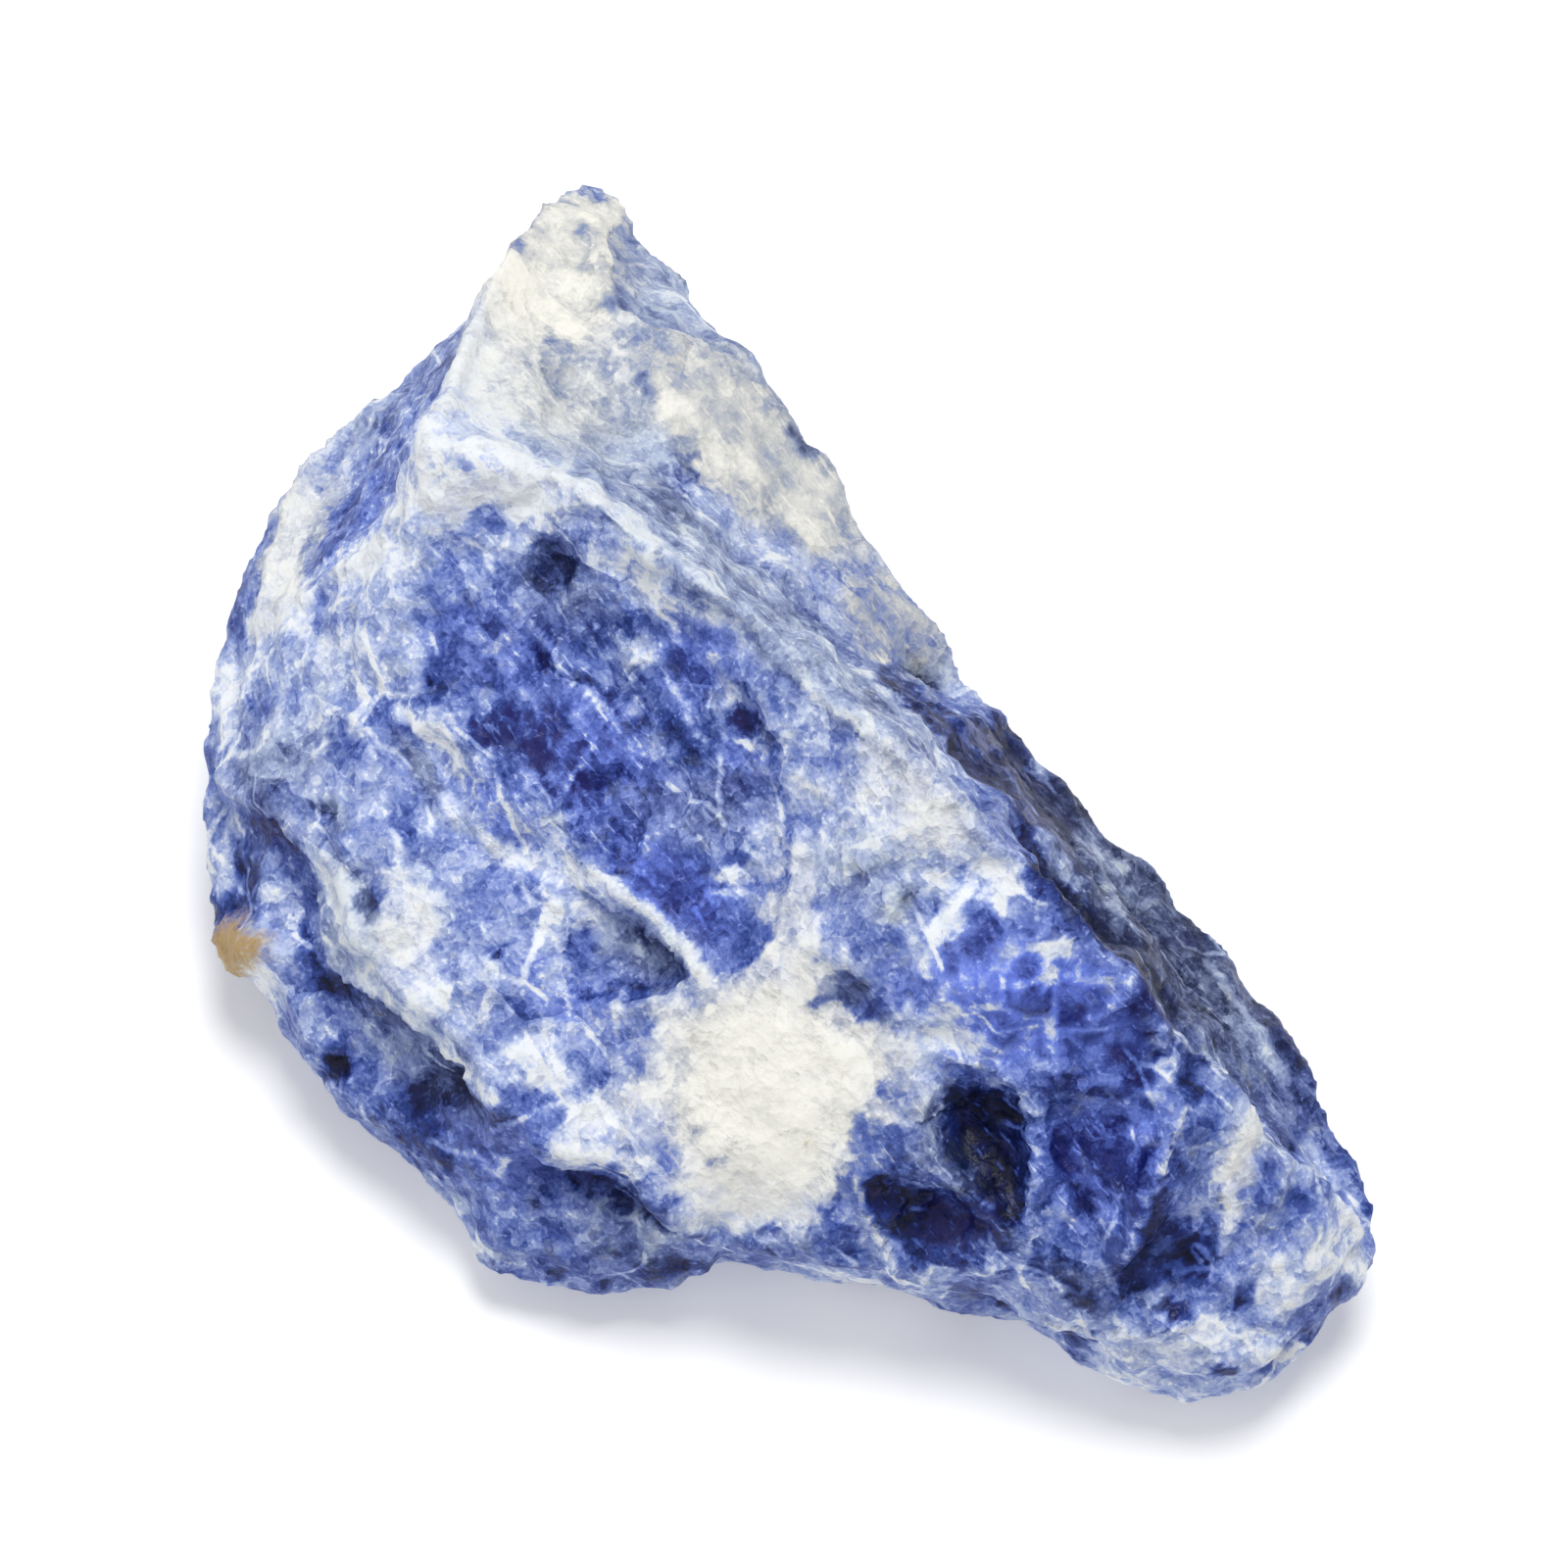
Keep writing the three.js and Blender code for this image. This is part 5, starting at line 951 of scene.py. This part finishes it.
    # a tint of one colour, or of a dark one, a pale one and its run between them
    for amount, names in ((royal, ("royalDark", "royalPale", "royalRun")),
                          (green, ("greenDark", "greenPale", "greenRun")),
                          (violet, ("violet",)),
                          (cream, ("creamShade", "cream", "creamRun")),
                          (rust, ("rust",))):
        tint = linear(sodalite[names[0]])
        if len(names) > 1:
            along = node("ShaderNodeMapRange", (shade, *sodalite[names[2]]), **smoothly)
            tint = node("ShaderNodeMix", {0: along, 6: tint, 7: linear(sodalite[names[1]])}, **colours)
        colour = node("ShaderNodeMix", {0: amount, 6: colour, 7: tint}, **colours)

    # glassy crystal flats among dull broken ones
    gloss = node("ShaderNodeMapRange", (shades["crystal"], *eases["glossByCrystal"]), **smoothly)
    gloss = chained("ADD", gloss, node("ShaderNodeMapRange", (shade, *eases["glossByShade"]), **smoothly))
    heights = [chained("MULTIPLY", cells[name]["Distance"] if name in cells else clouds[name], height)
               for name, height in sodalite["bumps"].items()]
    normal = node("ShaderNodeBump", {"Height": chained("ADD", *heights), "Distance": 1.0 * mm,
                                     "Strength": sodalite["bumpStrength"]})
    # every crystal face leans its own way and so catches the light by itself
    for name, amount in sodalite["leans"].items():
        lean = colourAbout(node, cells[name]["Color"], amount)
        normal = node("ShaderNodeVectorMath", (normal, lean), operation="ADD")
    normal = node("ShaderNodeVectorMath", (normal,), operation="NORMALIZE")
    skin = node("ShaderNodeBsdfPrincipled", {
        "Base Color": colour, "Roughness": gloss, "IOR": sodalite["ior"],
        "Specular IOR Level": sodalite["gleam"], "Normal": normal})
    node("ShaderNodeOutputMaterial", {"Surface": skin}, output=None)
    return material


material = sodaliteMaterial()
print("material made")
stone = makeSkin()
nudge(stone)
mark(stone)
print("marks placed:", len(tones), "tones,", len(strokes), "strokes,", len(ledges), "ledges,",
      len(pits), "pits")
breakUp(stone, material)
print("stone broken up:", sum(len(face.vertices) - 2 for face in stone.data.polygons), "triangles")
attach(stone, "root")
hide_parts("rough_sodalite")

# table and light, in metres and watts
studio = {
    "tableWidth": 3.0,
    "tableColour": "#f6f6f5",
    "tableRoughness": 0.9,
    "glow": 0.2,  # of the paper, as on a light table, so that the shadow on it stays pale
    "sky": 0.447,
    # direction from the stone, distance, size and power
    "lights": {"keyLight": ((0.08, 0.26, 1.0), 0.6, 0.26, 2.42),
               "fillLight": ((-0.8, -0.5, 0.9), 0.8, 0.5, 0.92)},
}


def addArea(name, direction, distance, size, power):
    data = bpy.data.lights.new(name, "AREA")
    data.shape = "DISK"
    data.size = size
    data.energy = power
    made = bpy.data.objects.new(name, data)
    direction = Vector(direction).normalized()
    made.location = target + direction * distance
    made.rotation_euler = (-direction).to_track_quat("-Z", "Y").to_euler()
    bpy.context.scene.collection.objects.link(made)


def addTable():
    half = studio["tableWidth"] / 2
    corners = [(-half, -half, 0), (half, -half, 0), (half, half, 0), (-half, half, 0)]
    mesh = bpy.data.meshes.new("table")
    mesh.from_pydata(corners, [], [(0, 1, 2, 3)])
    table = bpy.data.objects.new("table", mesh)
    bpy.context.scene.collection.objects.link(table)
    # matt white paper gives no reflection and a soft edge to the shadow
    paper = bpy.data.materials.new("whitePaper")
    paper.use_nodes = True
    shader = paper.node_tree.nodes["Principled BSDF"]
    shader.inputs["Base Color"].default_value = linear(studio["tableColour"])
    shader.inputs["Roughness"].default_value = studio["tableRoughness"]
    shader.inputs["Emission Color"].default_value = linear(studio["tableColour"])
    shader.inputs["Emission Strength"].default_value = studio["glow"]
    mesh.materials.append(paper)


def addSky():
    world = bpy.data.worlds.new("studio")
    world.use_nodes = True
    sky = world.node_tree.nodes["Background"]
    sky.inputs["Color"].default_value = (1, 1, 1, 1)
    sky.inputs["Strength"].default_value = studio["sky"]
    bpy.context.scene.world = world


addTable()
addSky()
for name, light in studio["lights"].items():
    addArea(name, *light)
bpy.context.scene.view_settings.view_transform = "Standard"
print("studio lit")
